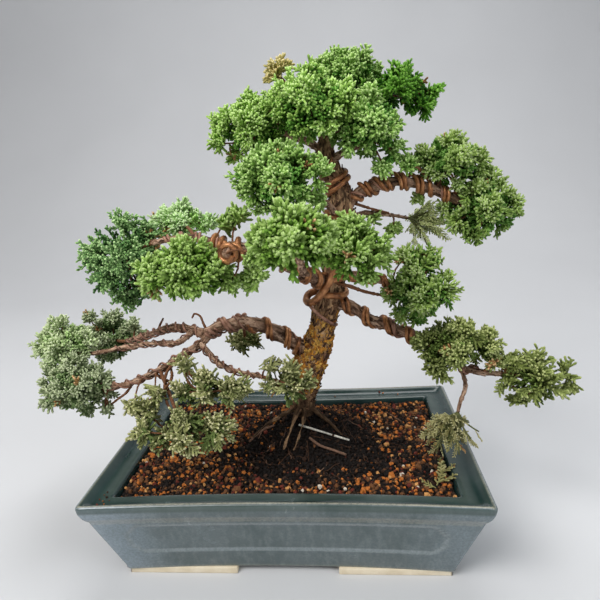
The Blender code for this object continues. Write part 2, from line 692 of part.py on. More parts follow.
def make_core(name, mass, rng):
    """The dense heart of a mass: a rough ball with blunt points, kept in the mass's own space."""
    bpy.ops.mesh.primitive_ico_sphere_add(subdivisions=2, radius=1.0)
    core = bpy.context.active_object
    core.name = name + "_core"
    centre = Vector(mass.centre)
    for vert in core.data.vertices:
        direction = vert.co.normalized()
        share = mass.core * rng.uniform(*CORE_ROUGHNESS)
        while True:
            offset = Vector(part * half * share for part, half in zip(direction, mass.half))
            point = (centre + offset) * MM
            if share < SMALLEST_CORE or in_own_space(name, point, 1.5 * SPACE_SLACK):
                break
            share -= CORE_STEP
        vert.co = point
    return core


def make_spray(name, root, direction, length, rng):
    """A tuft of pointed sprigs that part from one root: a bipyramid over a star-shaped rim."""
    side = direction.orthogonal().normalized()
    across = direction.cross(side)
    turn = rng.uniform(0, math.tau)
    bm = bmesh.new()
    rim = []
    for index in range(2 * SPRAY_POINTS):
        angle = turn + math.pi * index / SPRAY_POINTS
        outward = side * math.cos(angle) + across * math.sin(angle)
        if index % 2 == 0:
            height, width = rng.uniform(0.8, 1.0), SPRAY_SPREAD
        else:
            height, width = NOTCH_HEIGHT, NOTCH_SPREAD
        rim.append(bm.verts.new(root + (direction * height + outward * width) * length))
    foot = bm.verts.new(root)
    dimple = bm.verts.new(root + direction * length * DIMPLE_HEIGHT)
    for index in range(len(rim)):
        following = (index + 1) % len(rim)
        bm.faces.new((rim[index], rim[following], dimple))
        bm.faces.new((rim[following], rim[index], foot))
    bmesh.ops.recalc_face_normals(bm, faces=bm.faces)
    tips = [vert.co.copy() for vert in rim]
    return object_from(name, bm), tips


def make_twig(name, start, end):
    """A three-sided tapering twig between two points."""
    axis = end - start
    bm = bmesh.new()
    bmesh.ops.create_cone(bm, cap_ends=True, segments=3, radius1=TWIG_RADIUS * MM,
                          radius2=TWIG_TIP_RADIUS * MM, depth=axis.length)
    turn = axis.to_track_quat("Z", "Y").to_matrix().to_4x4()
    bmesh.ops.transform(bm, matrix=Matrix.Translation((start + end) / 2) @ turn, verts=bm.verts)
    return object_from(name, bm)


def make_mass(name, mass, limbs, wraps, stems):
    """One mass: a stem, twigs from its heart, toothed sprays at their ends, and a core if dense."""
    rng = random.Random(f"{SEED} {name}")
    low = [(middle - half) * MM for middle, half in zip(mass.centre, mass.half)]
    high = [(middle + half) * MM for middle, half in zip(mass.centre, mass.half)]
    near = [key for key, path in limbs.items() if path.near(low, high, NEARBY * MM)]
    obstacles = [limbs[key] for key in near]
    strangers = [path for key, path in {**wraps, **stems}.items()
                 if key != name and path.near(low, high, NEARBY * MM)]
    obstacles += strangers

    def fits(points):
        for point in points:
            if not in_own_space(name, point, SPACE_SLACK):
                return False
            if any(path.clearance(point) < LIMB_ROOM * MM for path in obstacles):
                return False
        return True

    stem = stems[name]
    heart = Vector(mass.centre) * MM
    pieces = [tube(name, stem.points, stem.radii, STEM_SIDES)]
    if mass.core:
        pieces.append(make_core(name, mass, rng))
    root_share = max(OPEN_ROOT_SHARE, mass.core * CORE_ROOT_SHARE)
    for index, spread in enumerate(even_directions(mass.sprays, rng)):
        jitter = MAIN_JITTER if index < len(MAIN_DIRECTIONS) else TURN_JITTER
        direction = (spread + scatter(rng) * jitter).normalized()
        reach = Vector(part * half for part, half in zip(direction, mass.half)) * MM
        root = heart + reach * root_share
        outward = (reach.normalized() + scatter(rng) * SPRAY_LEAN).normalized()
        for shrink in SPRAY_TRIES:
            length = reach.length * (SPRAY_REACH - root_share) * shrink
            spray, tips = make_spray(f"{name}_spray_{index}", root, outward, length, rng)
            along = [root + outward * length * share for share in (0.4, 0.7, 0.9)]
            if fits(tips + along):
                pieces.append(spray)
                if not mass.core:
                    twig_end = root + outward * length * TWIG_SUNK
                    pieces.append(make_twig(f"{name}_twig_{index}", heart, twig_end))
                break
            discard(spray)
    body, *others = pieces
    combine(body, others, "UNION")
    cutters = [tube("cutter", *limbs[key].sleeve(GAP * MM), sides_of(key))
               for key in dict.fromkeys(near + [mass.carrier])]
    cutters += [tube("cutter", *path.sleeve(GAP * MM), LIMB_SIDES) for path in strangers]
    combine(body, cutters, "DIFFERENCE")
    keep_main_shell(body)
    return body


def finish(items):
    """Puts every piece in one collection under an empty that stands the whole on the origin."""
    collection = bpy.data.collections.new("juniper_bonsai")
    bpy.context.scene.collection.children.link(collection)
    stand = bpy.data.objects.new("stand_point", None)
    collection.objects.link(stand)
    corners = [vert.co for item, _ in items for vert in item.data.vertices]
    low = Vector(min(corner[axis] for corner in corners) for axis in range(3))
    high = Vector(max(corner[axis] for corner in corners) for axis in range(3))
    stand.location = (-(low.x + high.x) / 2, -(low.y + high.y) / 2, -low.z)
    materials = {name: make_material(name) for name in MATERIALS}
    for item, material in items:
        move_to(item, collection)
        item.parent = stand
        item.data.materials.clear()
        item.data.materials.append(materials[material])
        if material != "foliage":
            item.data.shade_smooth()
            item.data.set_sharp_from_angle(angle=math.radians(35))


def build():
    clear_scene()
    limbs = lay_out_limbs()
    wraps = lay_out_wraps(limbs)
    stems = lay_out_stems(limbs)
    items = [(make_pot(), "glaze")]
    socket = make_trunk("socket", limbs, GAP * MM, GROUND_CUT - GAP)
    items.append((make_soil(socket), "soil"))
    items.append((make_trunk("trunk", limbs, 0.0, GROUND_CUT), "bark"))
    for name, limb in LIMBS.items():
        items.append((make_limb(name, limb, limbs), "bark"))
    for name, mass in MASSES.items():
        items.append((make_mass(name, mass, limbs, wraps, stems), "foliage"))
    for name, wire in WIRES.items():
        items.append((make_wire(wire, name, limbs), "training_wire"))
    finish(items)


build()
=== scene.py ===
"""Looks of the juniper bonsai: glazed pot, grainy soil, flaking bark, wound wire and scale leaves.

Places and sizes are millimetres in the pot's own frame, whose origin is under the middle of the pot.
They repeat the named values of the part's source, and world() turns them into the part's metres.
"""

import math
import random
from collections import namedtuple
from functools import partial

import bmesh
import bpy
import numpy as np
from mathutils import Matrix, Vector, noise

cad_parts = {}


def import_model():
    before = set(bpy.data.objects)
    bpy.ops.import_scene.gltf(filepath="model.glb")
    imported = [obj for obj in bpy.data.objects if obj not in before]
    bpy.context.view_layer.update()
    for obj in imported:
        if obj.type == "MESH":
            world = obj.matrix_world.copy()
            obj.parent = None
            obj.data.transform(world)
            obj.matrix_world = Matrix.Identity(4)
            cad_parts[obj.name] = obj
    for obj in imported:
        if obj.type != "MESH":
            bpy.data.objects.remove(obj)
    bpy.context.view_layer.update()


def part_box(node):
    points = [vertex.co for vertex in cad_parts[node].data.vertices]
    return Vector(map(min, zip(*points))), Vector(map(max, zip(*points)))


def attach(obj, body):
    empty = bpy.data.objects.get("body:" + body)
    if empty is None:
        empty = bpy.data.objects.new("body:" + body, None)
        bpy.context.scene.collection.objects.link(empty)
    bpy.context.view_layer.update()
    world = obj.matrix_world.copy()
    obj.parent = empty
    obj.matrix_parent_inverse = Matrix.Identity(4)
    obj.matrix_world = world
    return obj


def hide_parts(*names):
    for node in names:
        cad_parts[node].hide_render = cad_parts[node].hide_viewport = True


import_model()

MM = 0.001
SEED = 7
BODY = "root"
pot_low, pot_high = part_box("pot")
POT_PLACE = Vector(((pot_low.x + pot_high.x) / 2, (pot_low.y + pot_high.y) / 2, pot_low.z))

# Pot
RIM_HALF = (130.0, 92.5)
SIDE_BOW = 4.5
BASE_HEIGHT = 4.5
WALL_INSET_LOW = 20.0
WALL_INSET_HIGH = 4.8
WALL_CORNER = 3.4
LIP_UNDERSIDE = 51.0
PANEL_LOW = 21.0
PANEL_HIGH = 47.5
PANEL_END = 27.0
PANEL_CHAMFER = 8.0
PANEL_STEP = 1.6
PANEL_DEPTH = 0.9
FOOT_LONG = 74.0
FOOT_SHORT = 40.0
FOOT_WIDTH = 11.0
FOOT_CORNER = 2.5
FOOT_SETBACK = 1.8

# Glaze: how thin it runs on the panels' lines, on the rim's long and short edges and at the base, how
# deep it pools on the lip's side and in the dished rim, and where the painted sheen starts and fades in:
# a pale bloom painted on the pot's ends for the window's reflection, weaker on the right
LINE_WIDTH = 1.7
THIN_ON_LINE = 0.26
THIN_ON_RIM = (0.8, 0.4)
THIN_AT_BASE = 0.3
POOL_ON_SIDE = 0.38
POOL_IN_DISH = (0.55, 0.45)
DISH_INSET = 7.5
DISH_REACH = 6.5
SHEEN_FROM = 74
SHEEN_FADE = 40
SHEEN_PATCH = 16
SHEEN_RIGHT = 0.4

# The pot from the wall's top over the lip and the dished rim into the hollow: (height, inset)
LIP_PROFILE = (
    (49.8, 5.2), (50.6, 5.1), (51.5, 4.6), (52.6, 3.7), (54.0, 2.7), (55.6, 1.8), (57.4, 1.1), (59.2, 0.5),
    (61.0, 0.15), (62.6, 0.0), (63.5, 0.1), (64.2, 0.4), (64.7, 0.9), (65.0, 1.6), (65.0, 2.4), (64.8, 3.2),
    (64.3, 4.1), (63.5, 5.1), (62.6, 6.2), (61.9, 7.3), (61.5, 8.6), (61.4, 10.2), (61.5, 12.2), (61.7, 14.4),
    (61.8, 16.2), (61.5, 17.4), (60.8, 18.3), (59.6, 18.9), (57.0, 19.3), (50.0, 20.6), (40.0, 22.5),
    (30.0, 24.4),
)

# Soil
SOIL_INSET = 20.2
SOIL_LEVEL = 59.0
MOUND_HEIGHT = 19.0
MOUND_REACH = (62.0, 52.0)
LUMP_PITCH = 13.4
LUMP_HEIGHT = 1.5
LUMP_DRIFT = 0.18
GROUND_CUT = 66.0
MOIST_CENTRE = (19.0, -11.0)
MOIST_REACH = (64.0, 46.0)
TRUNK_FOOT = (9.0, 15.0)

# Trunk: way points with the radius at each
TRUNK_ROUTE = (
    (8, 15, 60, 9.5), (9, 14, 80, 8.0), (10, 9, 98, 10.0), (14, 5, 117, 12.0), (21, 5, 134, 10.5),
    (26, 5, 150, 9.0), (31, 5, 168, 9.0), (35, 5, 186, 8.0), (34, 5, 208, 8.0), (40, 5, 229, 8.5),
    (43, 5, 242, 8.0), (38, 5, 257, 7.0), (33, 5, 272, 6.5), (37, 6, 288, 5.0), (42, 9, 303, 3.2),
)
ROOT_ROUTES = (
    ((9, 13, 86, 5.0), (-3, 4, 82, 3.0), (-16, -3, 78, 2.3), (-29, -8, 68, 1.6)),
    ((8, 12, 86, 5.0), (3, -2, 80, 2.6), (-1, -14, 73, 1.9), (-5, -25, 64, 1.5)),
    ((10, 12, 86, 5.0), (10, -2, 80, 2.5), (7, -14, 73, 1.8), (2, -28, 63, 1.4)),
    ((10, 14, 86, 5.0), (20, 8, 80, 3.2), (30, 2, 73, 2.5), (40, -3, 64, 1.7)),
    ((9, 15, 86, 5.0), (4, 27, 80, 3.2), (-2, 38, 70, 2.3), (-6, 45, 63, 1.6)),
)

Limb = namedtuple("Limb", "carrier share thick thin route")
Wire = namedtuple("Wire", "limb first last turns radius turn_from strands gap finish",
                  defaults=(1, 0.0, "copper"))
Mass = namedtuple("Mass", "carrier share centre half palette habit")

# Boughs, arms and twigs: the carrier and where on it they start, radii, way points
LIMBS = {
    "lower_left_bough": Limb("trunk", 0.285, 5.6, 3.8, (
        (4, 1, 140), (-13, 0, 151), (-30, 0, 156), (-46, -1, 154), (-60, -4, 149))),
    "lower_left_back_arm": Limb("lower_left_bough", 1.0, 3.2, 2.0, (
        (-74, 2, 152), (-90, 11, 150), (-111, 24, 141), (-137, 38, 131))),
    "lower_left_outer_arm": Limb("lower_left_back_arm", 0.1, 2.2, 1.6, (
        (-80, -4, 143), (-96, 2, 141), (-118, 8, 137), (-156, 15, 129))),
    "lower_left_front_arm": Limb("lower_left_bough", 0.93, 3.0, 1.8, (
        (-62, -10, 143), (-76, -14, 136), (-96, -17, 125), (-117, -18, 117), (-137, -16, 114))),
    "lower_left_inner_arm": Limb("lower_left_front_arm", 0.13, 2.2, 1.5, (
        (-54, -15, 137), (-45, -20, 131), (-31, -25, 127), (-15, -29, 125))),
    "middle_left_bough": Limb("trunk", 0.497, 4.4, 3.4, (
        (21, -14, 191), (11, -28, 200), (-4, -38, 211), (-18, -42, 216), (-31, -40, 218))),
    "middle_left_arm": Limb("middle_left_bough", 1.0, 2.8, 1.8, (
        (-45, -34, 222), (-64, -26, 223), (-86, -19, 219))),
    "middle_left_stub": Limb("middle_left_bough", 0.78, 3.6, 3.2, (
        (-22, -52, 216), (-27, -62, 217))),
    "front_bough": Limb("middle_left_bough", 0.3, 2.2, 1.6, (
        (17, -46, 203), (18, -68, 212), (17, -90, 221))),
    "centre_bough": Limb("trunk", 0.59, 2.4, 1.7, (
        (42, -16, 204), (44, -34, 208), (46, -46, 211))),
    "upper_front_bough": Limb("trunk", 0.69, 2.6, 1.8, (
        (34, -14, 239), (25, -30, 247), (14, -42, 254))),
    "lower_right_bough": Limb("trunk", 0.44, 4.2, 3.0, (
        (46, 2, 166), (59, -3, 158), (74, -8, 153), (90, -14, 146), (107, -19, 138))),
    "lower_right_arm": Limb("lower_right_bough", 1.0, 2.6, 1.8, (
        (119, -22, 128), (131, -26, 125), (146, -29, 124))),
    "lower_right_hanging_twig": Limb("lower_right_arm", 0.4, 1.5, 1.2, (
        (122, -31, 117), (118, -36, 108), (116, -38, 101))),
    "middle_right_bough": Limb("trunk", 0.515, 2.8, 2.0, (
        (50, -6, 190), (62, -13, 189), (76, -17, 185))),
    "middle_back_bough": Limb("trunk", 0.545, 2.8, 1.9, (
        (34, 22, 194), (32, 37, 197), (31, 48, 199))),
    "upper_right_bough": Limb("trunk", 0.695, 4.0, 3.0, (
        (54, 4, 245), (65, 4, 249), (80, 4, 252), (95, 6, 249), (110, 8, 243), (124, 10, 236))),
    "upper_right_twig": Limb("trunk", 0.665, 1.8, 1.3, (
        (56, 14, 230), (74, 21, 228), (91, 26, 224))),
    "crown_left_bough": Limb("trunk", 0.87, 3.0, 2.0, (
        (22, 4, 280), (8, 3, 286), (-4, 1, 290))),
    "crown_right_bough": Limb("trunk", 0.9, 2.8, 1.9, (
        (50, 10, 292), (63, 15, 302), (72, 18, 308))),
    "crown_front_bough": Limb("trunk", 0.845, 2.6, 1.8, (
        (46, -2, 273), (57, -8, 277), (63, -12, 283))),
}

# Masses of foliage: carrier, where on it the stem starts, centre, half size, palette, habit of growth
MASSES = {
    "crown_left": Mass("crown_left_bough", 1.0, (-13, 0, 291), (33, 29, 24), "sunny", "cushion"),
    "crown_front": Mass("trunk", 0.9, (25, -22, 300), (31, 27, 29), "sunny", "cushion"),
    "crown_top": Mass("trunk", 1.0, (46, 36, 322), (33, 32, 26), "leafy", "cushion"),
    "crown_right": Mass("crown_right_bough", 1.0, (82, 18, 308), (31, 28, 21), "vivid", "open"),
    "crown_right_front": Mass("crown_front_bough", 1.0, (62, -13, 286), (27, 25, 27), "leafy", "open"),
    "crown_back": Mass("trunk", 0.93, (12, 42, 299), (33, 31, 26), "leafy", "cushion"),
    "upper_front": Mass("upper_front_bough", 1.0, (7, -51, 258), (32, 27, 23), "leafy", "cushion"),
    "upper_right": Mass("upper_right_bough", 0.8, (116, 10, 262), (31, 26, 21), "dusky", "cushion"),
    "upper_right_tip": Mass("upper_right_bough", 1.0, (139, 11, 230), (31, 27, 27), "dusky", "cushion"),
    # the fan's palette is painted light
    "upper_right_fan": Mass("upper_right_twig", 1.0, (106, 30, 217), (17, 16, 18), "painted_lit", "fan"),
    "front_mass": Mass("front_bough", 1.0, (17, -108, 229), (24, 21, 21), "fresh", "bold"),
    "centre": Mass("centre_bough", 1.0, (47, -60, 214), (25, 21, 24), "fresh", "open"),
    "middle_left_tip": Mass("middle_left_arm", 1.0, (-109, -10, 206), (32, 27, 35), "deep", "strand"),
    "middle_left_back": Mass("middle_left_arm", 0.4, (-76, 27, 226), (27, 25, 18), "pale", "open"),
    "middle_left_front": Mass("middle_left_arm", 0.5, (-54, -57, 205), (32, 23, 24), "fresh", "bold"),
    "middle_right": Mass("middle_right_bough", 1.0, (92, -20, 179), (27, 24, 27), "dusky", "cushion"),
    "middle_back": Mass("middle_back_bough", 1.0, (30, 66, 202), (28, 26, 20), "leafy", "cushion"),
    "lower_right": Mass("lower_right_bough", 0.85, (116, -29, 144), (30, 26, 20), "olive", "cushion"),
    "lower_right_tip": Mass("lower_right_arm", 1.0, (169, -30, 121), (31, 24, 20), "olive", "finger"),
    "lower_right_hanging": Mass(
        "lower_right_hanging_twig", 1.0, (111, -40, 86), (20, 15, 18), "ashen", "fan"),
    "lower_left_tip": Mass("lower_left_outer_arm", 1.0, (-178, 18, 134), (27, 25, 27), "silver", "open"),
    "lower_left_back": Mass("lower_left_back_arm", 1.0, (-157, 61, 126), (27, 26, 26), "grey", "cushion"),
    "lower_left_front": Mass("lower_left_front_arm", 1.0, (-157, -14, 113), (30, 25, 25), "grey", "cushion"),
    "inner_left_upper": Mass("lower_left_front_arm", 0.36, (-50, -46, 121), (26, 18, 18), "moss", "finger"),
    "inner_left_lower": Mass("lower_left_front_arm", 0.5, (-64, -61, 99), (36, 22, 20), "moss", "finger"),
    "inner_front_tuft": Mass("lower_left_inner_arm", 1.0, (4, -33, 120), (19, 15, 19), "moss", "finger"),
    "inner_back_tuft": Mass("lower_left_bough", 0.66, (-37, 33, 130), (14, 15, 16), "moss", "finger"),
}

# Training wires: limb, first and last share of it, turns, radius, starting angle in degrees, strands
# side by side, the distance between them along the limb, and the finish; one strand of copper if not said
WIRES = {
    "trunk_wire_upper": Wire("trunk", 0.745, 0.83, 1.7, 1.7, 0.0),
    "trunk_wire_upper_pair": Wire("trunk", 0.764, 0.849, 1.7, 1.7, 0.0),
    "trunk_wire_middle": Wire("trunk", 0.607, 0.652, 1.4, 1.7, 90.0),
    "lower_left_wire": Wire("lower_left_bough", 0.22, 0.58, 2.1, 1.25, 0.0, 2, 2.7),
    "middle_left_wire": Wire("middle_left_bough", 0.47, 0.68, 1.8, 1.5, 40.0),
    "stub_wire": Wire("middle_left_stub", 0.52, 0.9, 1.6, 1.4, 0.0),
    "lower_right_wire": Wire("lower_right_bough", 0.10, 0.78, 3.6, 1.25, 20.0, 2, 2.7),
    "upper_right_wire": Wire("upper_right_bough", 0.25, 0.69, 3.6, 1.45, 60.0, 2, 3.3),
}

# Windings that only the looks have, in the same terms
EXTRA_WIRES = {
    "upper_right_wire_foot": Wire("upper_right_bough", 0.04, 0.22, 1.4, 1.35, 200.0),
    "upper_right_wire_end": Wire("upper_right_bough", 0.72, 0.97, 2.0, 1.3, 100.0, 2, 3.0),
    "upper_right_wire_thin": Wire("upper_right_bough", 0.12, 0.9, 5.0, 0.9, 10.0, 1, 0.0, "aged"),
    "lower_left_wire_end": Wire("lower_left_bough", 0.64, 0.95, 1.9, 1.25, 120.0, 2, 3.0, "aged"),
    "lower_left_wire_thin": Wire("lower_left_bough", 0.05, 0.9, 3.4, 0.65, 250.0, 1, 0.0, "aged"),
    "lower_left_wire_foot": Wire("lower_left_bough", 0.06, 0.19, 1.2, 1.5, 30.0),
    "front_arm_wire": Wire("lower_left_front_arm", 0.03, 0.92, 4.2, 0.70, 0.0, 2, 9.5, "aged"),
    "back_arm_wire": Wire("lower_left_back_arm", 0.03, 0.85, 4.2, 0.75, 0.0, 2, 9.0, "aged"),
    "outer_arm_wire": Wire("lower_left_outer_arm", 0.05, 0.7, 3.4, 0.55, 40.0, 2, 8.0, "aged"),
    "inner_arm_wire": Wire("lower_left_inner_arm", 0.08, 0.9, 3.2, 0.60, 90.0, 2, 7.0, "aged"),
    "middle_right_wire": Wire("middle_right_bough", 0.22, 0.98, 2.8, 1.3, 0.0, 2, 2.8),
    "middle_left_bough_wire": Wire("middle_left_bough", 0.08, 0.4, 2.0, 1.25, 200.0, 2, 2.7),
    "middle_left_arm_wire": Wire("middle_left_arm", 0.05, 0.75, 3.2, 1.0, 0.0, 2, 2.2, "aged"),
    "lower_right_wire_thin": Wire("lower_right_bough", 0.45, 0.97, 2.6, 1.1, 230.0, 2, 2.5, "aged"),
    "lower_right_arm_wire": Wire("lower_right_arm", 0.02, 0.6, 2.2, 1.0, 0.0, 2, 2.2, "aged"),
    "middle_left_knot": Wire("middle_left_bough", 0.70, 0.99, 3.1, 1.95, 30.0),
    "middle_left_ring": Wire("middle_left_stub", 0.86, 0.97, 1.1, 1.7, 90.0),
    "middle_left_arm_knot": Wire("middle_left_arm", 0.02, 0.22, 2.1, 1.8, 0.0),
    "trunk_wire_low": Wire("trunk", 0.47, 0.53, 1.3, 2.3, 200.0),
    "trunk_wire_fork": Wire("trunk", 0.665, 0.715, 1.4, 1.5, 300.0, 2, 3.3),
}

# Turns of wire at the fork that stand clear of the bark: way points, radius and finish
FORK_WIRES = {
    "fork_loop": (
        ((36.2, -7.0, 194.1), (33.9, -8.0, 188.0), (29.6, -9.5, 181.4), (23.7, -9.0, 174.3),
         (18.5, -6.0, 170.7), (15.7, 0.0, 171.4), (17.4, 5.0, 174.6), (23.8, 10.0, 176.2)),
        2.7, "copper"),
    "fork_diagonal": (
        ((16.7, 2.0, 170.2), (19.1, -5.0, 167.5), (23.9, -6.8, 162.7), (29.4, -7.0, 158.2),
         (34.2, -6.0, 154.8), (36.6, 0.0, 152.6), (34.0, 6.0, 152.0)),
        1.2, "aged"),
}

# Bare twigs: way points, radius at the start and at the end
BARE_TWIGS = (
    (((-57, -4, 150), (-60, -3, 157), (-62, -2, 162), (-66, -2, 164), (-68, -3, 161)), 1.0, 0.7),
    (((36, -1, 184), (47, -2, 181), (56, -5, 178), (66, -8, 176), (78, -11, 174), (92, -14, 171)), 1.5, 0.9),
    (((-84, -15, 131), (-80, -26, 125), (-82, -36, 121), (-92, -44, 115), (-102, -46, 113)), 1.2, 0.8),
    (((-96, -17, 125), (-88, -22, 122), (-78, -28, 121), (-70, -34, 122)), 1.3, 0.9),
    (((42, 4, 241), (54, 6, 237), (64, 12, 233), (76, 20, 229)), 1.3, 0.8),
    (((106, 8, 245), (101, 4, 253), (95, 0, 259), (88, -4, 262)), 1.6, 1.0),
    (((-111, -18, 119), (-118, -17, 110), (-126, -16, 104), (-133, -16, 99)), 1.1, 0.7),
    (((-104, 20, 143), (-100, 18, 150), (-96, 16, 156)), 1.0, 0.7),
    (((-131, -16, 116), (-134, -17, 107), (-136, -17, 98)), 0.9, 0.6),
    (((134, -27, 125), (140, -29, 130), (148, -30, 134)), 1.2, 0.8),
    (((150, -29, 123), (154, -30, 115), (160, -30, 108)), 1.0, 0.7),
    (((-70, -16, 138), (-71, -26, 131), (-63, -38, 123), (-52, -44, 122)), 1.1, 0.8),
    (((-76, -14, 135), (-84, -26, 127), (-80, -42, 113), (-66, -54, 103)), 1.1, 0.8),
    (((-34, -24, 128), (-38, -32, 124), (-44, -40, 122)), 1.1, 0.7),
)

# Grain of the limbs' meshes
RING_SPACING = 0.9
TRUNK_SIDES = 32
LIMB_SIDES = 20
TRUNK_VOXEL = 0.8
WIRE_STEPS = 26
WIRE_SIDES = 10
BARK_STRETCH = 0.3
FOOT_FLARE = 0.16
ROOT_THINNING = 0.6
BURL_HEIGHT = 130.0
BURL_REACH = 28.0

# Growth of the foliage
HIGHEST_TURN = 0.95
LOWEST_TURN = -0.85
MAIN_DIRECTIONS = ((0, 0, 1), (-1, 0, 0.1), (1, 0, 0.1), (0, -1, 0.1), (0, 1, 0.1))
STEM_RADIUS = 1.4
STEM_BEND = 0.45
STEM_LEAD = 0.12
STEM_RISE = 0.2
CORD_RADIUS = 0.88
CORD_SHOULDER = 0.80
CORD_SIDES = 4
SPRIG_KINDS = 5
SPRAY_SPRIGS = 3.4
SPRAY_SPREAD = 2.0
TIPS_REACH = 1.09
FAN_RIBS = 20
FAN_PITCH = 2.6
FAN_ROLL = 1.0
LIMB_ROOM = 0.9
TUFT_BOW = 0.16
SHOOT_SHARE = 0.22
DEAD_SHARE = 0.006
SHADE_LIMITS = (0.31, 0.68)

# How each habit grows: radius of a clump, area of the mass for each clump, how far clumps spread over
# their own outer side in degrees, area for each sprig, share of sprigs of painted shade in the dark heart,
# the sprig's family and size, lift towards the light, how unevenly the clumps stand
Habit = namedtuple("Habit", "clump pitch span area inner family size lift uneven")
HABITS = {
    "cushion": Habit(12.0, 235.0, 118.0, 45.0, 0.16, "tuft", 1.0, 0.32, 0.22),
    "bold": Habit(12.5, 255.0, 116.0, 58.0, 0.14, "tuft", 1.26, 0.24, 0.30),
    "open": Habit(11.5, 250.0, 114.0, 49.0, 0.14, "tuft", 1.08, 0.26, 0.30),
    "strand": Habit(15.0, 330.0, 104.0, 42.0, 0.12, "strand", 1.0, 0.14, 0.22),
    "finger": Habit(13.0, 330.0, 122.0, 74.0, 0.0, "finger", 1.02, 0.0, 0.44),
    "fan": Habit(13.0, 300.0, 110.0, 74.0, 0.0, "frond", 0.9, -0.16, 0.34),
}

# Grains of the soil: colours with their shares where it is dry, darker as painted shade in the gaps under and
# among the top grains, and where it is moist
GRAIN_COLOURS = (
    ("grain_black", (0.014, 0.011, 0.010)), ("grain_dark", (0.050, 0.028, 0.019)),
    ("grain_brown", (0.175, 0.076, 0.033)), ("grain_orange", (0.500, 0.163, 0.036)),
    ("grain_ochre", (0.570, 0.285, 0.100)), ("grain_red", (0.150, 0.034, 0.022)),
    ("grain_white", (0.720, 0.640, 0.530)),
)
GRAIN_SHARES = (0.20, 0.25, 0.22, 0.165, 0.065, 0.095, 0.005)
SHADED_GAP_SHARES = (0.56, 0.28, 0.08, 0.035, 0.01, 0.035, 0.0)
MOIST_SHARES = (0.84, 0.13, 0.018, 0.005, 0.0, 0.007, 0.0)

# Layers of grains: name, distance apart, depth under the soil's surface, smallest and largest radius
GRAIN_LAYERS = (
    ("soil_grains_under", 2.25, 1.6, 1.3, 1.7), ("soil_grains_top", 2.7, 0.5, 1.05, 2.2),
    ("soil_grains_fine", 2.6, 0.3, 0.4, 0.8),
)

# Among them: the share of big grains and how much bigger they are, how small the moist ones are, how
# strongly the colours drift from place to place, and the height of the dished rim that crumbs lie on
BIG_GRAINS = 0.035
BIG_GRAIN_SIZE = (1.3, 1.75)
MOIST_GRAIN_SIZE = 0.78
COLOUR_DRIFT = 1.1
RIM_DISH = 61.6

# Single things on the soil and the rim: x, y, size (and colour or turn). The stick's parts are shares of
# its way, their radii and the slot of bare wood or bark.
WHITE_STONES = (
    (-15, -15, 1.0), (23, -60, 2.1), (12, -65, 1.6), (40, -63, 1.5), (-62, -30, 1.2), (74, 20, 1.1),
)
RIM_CRUMBS = (
    (-118, -84, 1.0, 5), (-116, -80, 0.8, 2), (-119, -78, 0.7, 5), (-115, -76, 1.1, 1), (-118, -73, 0.6, 2),
    (-114, -83, 0.7, 3), (-112, -79, 0.6, 5), (-117, -70, 0.8, 1), (72, 83, 1.5, 5), (75, 82, 1.0, 3),
    (69, 84, 0.8, 2), (32, 76, 1.0, 2), (88, 80, 0.7, 3), (114, -40, 0.7, 3),
)
LITTER_COUNT = 80
STICK_START = (6.0, -3.5, 75.5)
STICK_END = (43.5, -8.5, 65.0)
STICK_PARTS = (
    ((0.0, 0.33, 0.66), (0.85, 0.8, 0.7), 0), ((0.70, 0.85, 1.0), (0.85, 0.8, 0.7), 0),
    ((0.64, 0.72), (0.6, 0.6), 1),
)
ROOTLETS = (
    (((14, -12, 0.8), (22, -17, 1.6), (31, -19, 1.2), (41, -21, 0.5)), 1.0),
    (((-14, 4, 1.0), (-24, 2, 1.2), (-33, -4, 0.6)), 0.9),
    (((78, 44, 1.0), (82, 38, 1.2), (86, 31, 0.7)), 0.5),
)
FALLEN_SPRIG = (
    (99, -60, 62, 1.0, 2), (101, -57, 20, 0.9, 2), (103, -52, 78, 1.0, 4), (105, -46, 35, 0.8, 2),
    (107, -42, 95, 0.8, 0), (98, -63, 150, 0.7, 2),
)

# Bark from its cracks to its plates, the crust on the burl, and the wires' finishes from tarnish to scuff,
# with roughness and metal
TRUNK_BARK = ((0.042, 0.023, 0.013), (0.375, 0.220, 0.122), (0.540, 0.345, 0.190))
BOUGH_BARK = ((0.050, 0.025, 0.015), (0.325, 0.190, 0.122), (0.540, 0.365, 0.260))
BURL_CRUST = (0.62, 0.32, 0.070)
WIRE_FINISHES = {
    "copper": ((0.13, 0.050, 0.022), (0.37, 0.155, 0.062), (0.58, 0.280, 0.120), 0.40, 0.5),
    "aged": ((0.10, 0.045, 0.030), (0.29, 0.140, 0.092), (0.46, 0.260, 0.180), 0.52, 0.25),
}

# Relief of the bark: how wide its plates, fibres and lumps are, and the radius of a bough that carries all
# of it. On the trunk: how far out its roots begin, how high it darkens towards the soil and loose scales lie.
PLATE_SIZE = 4.6
FIBRE_SIZE = 1.3
LUMP_SIZE = 7.5
FULL_RELIEF_RADIUS = 4.6
ROOTS_FROM = 17
DARKENING_TOP = 96
DARKENING_FADE = 14
SCALES_FROM = 84

# Loose scales of bark: ochre on the burl, brown and greyish elsewhere
FLAKE_COLOURS = (
    ("flake_orange", (0.60, 0.270, 0.045)), ("flake_ochre", (0.66, 0.380, 0.090)),
    ("flake_rust", (0.34, 0.130, 0.035)), ("flake_brown", (0.21, 0.115, 0.065)),
    ("flake_dark", (0.085, 0.045, 0.028)), ("flake_pink", (0.40, 0.260, 0.190)),
)
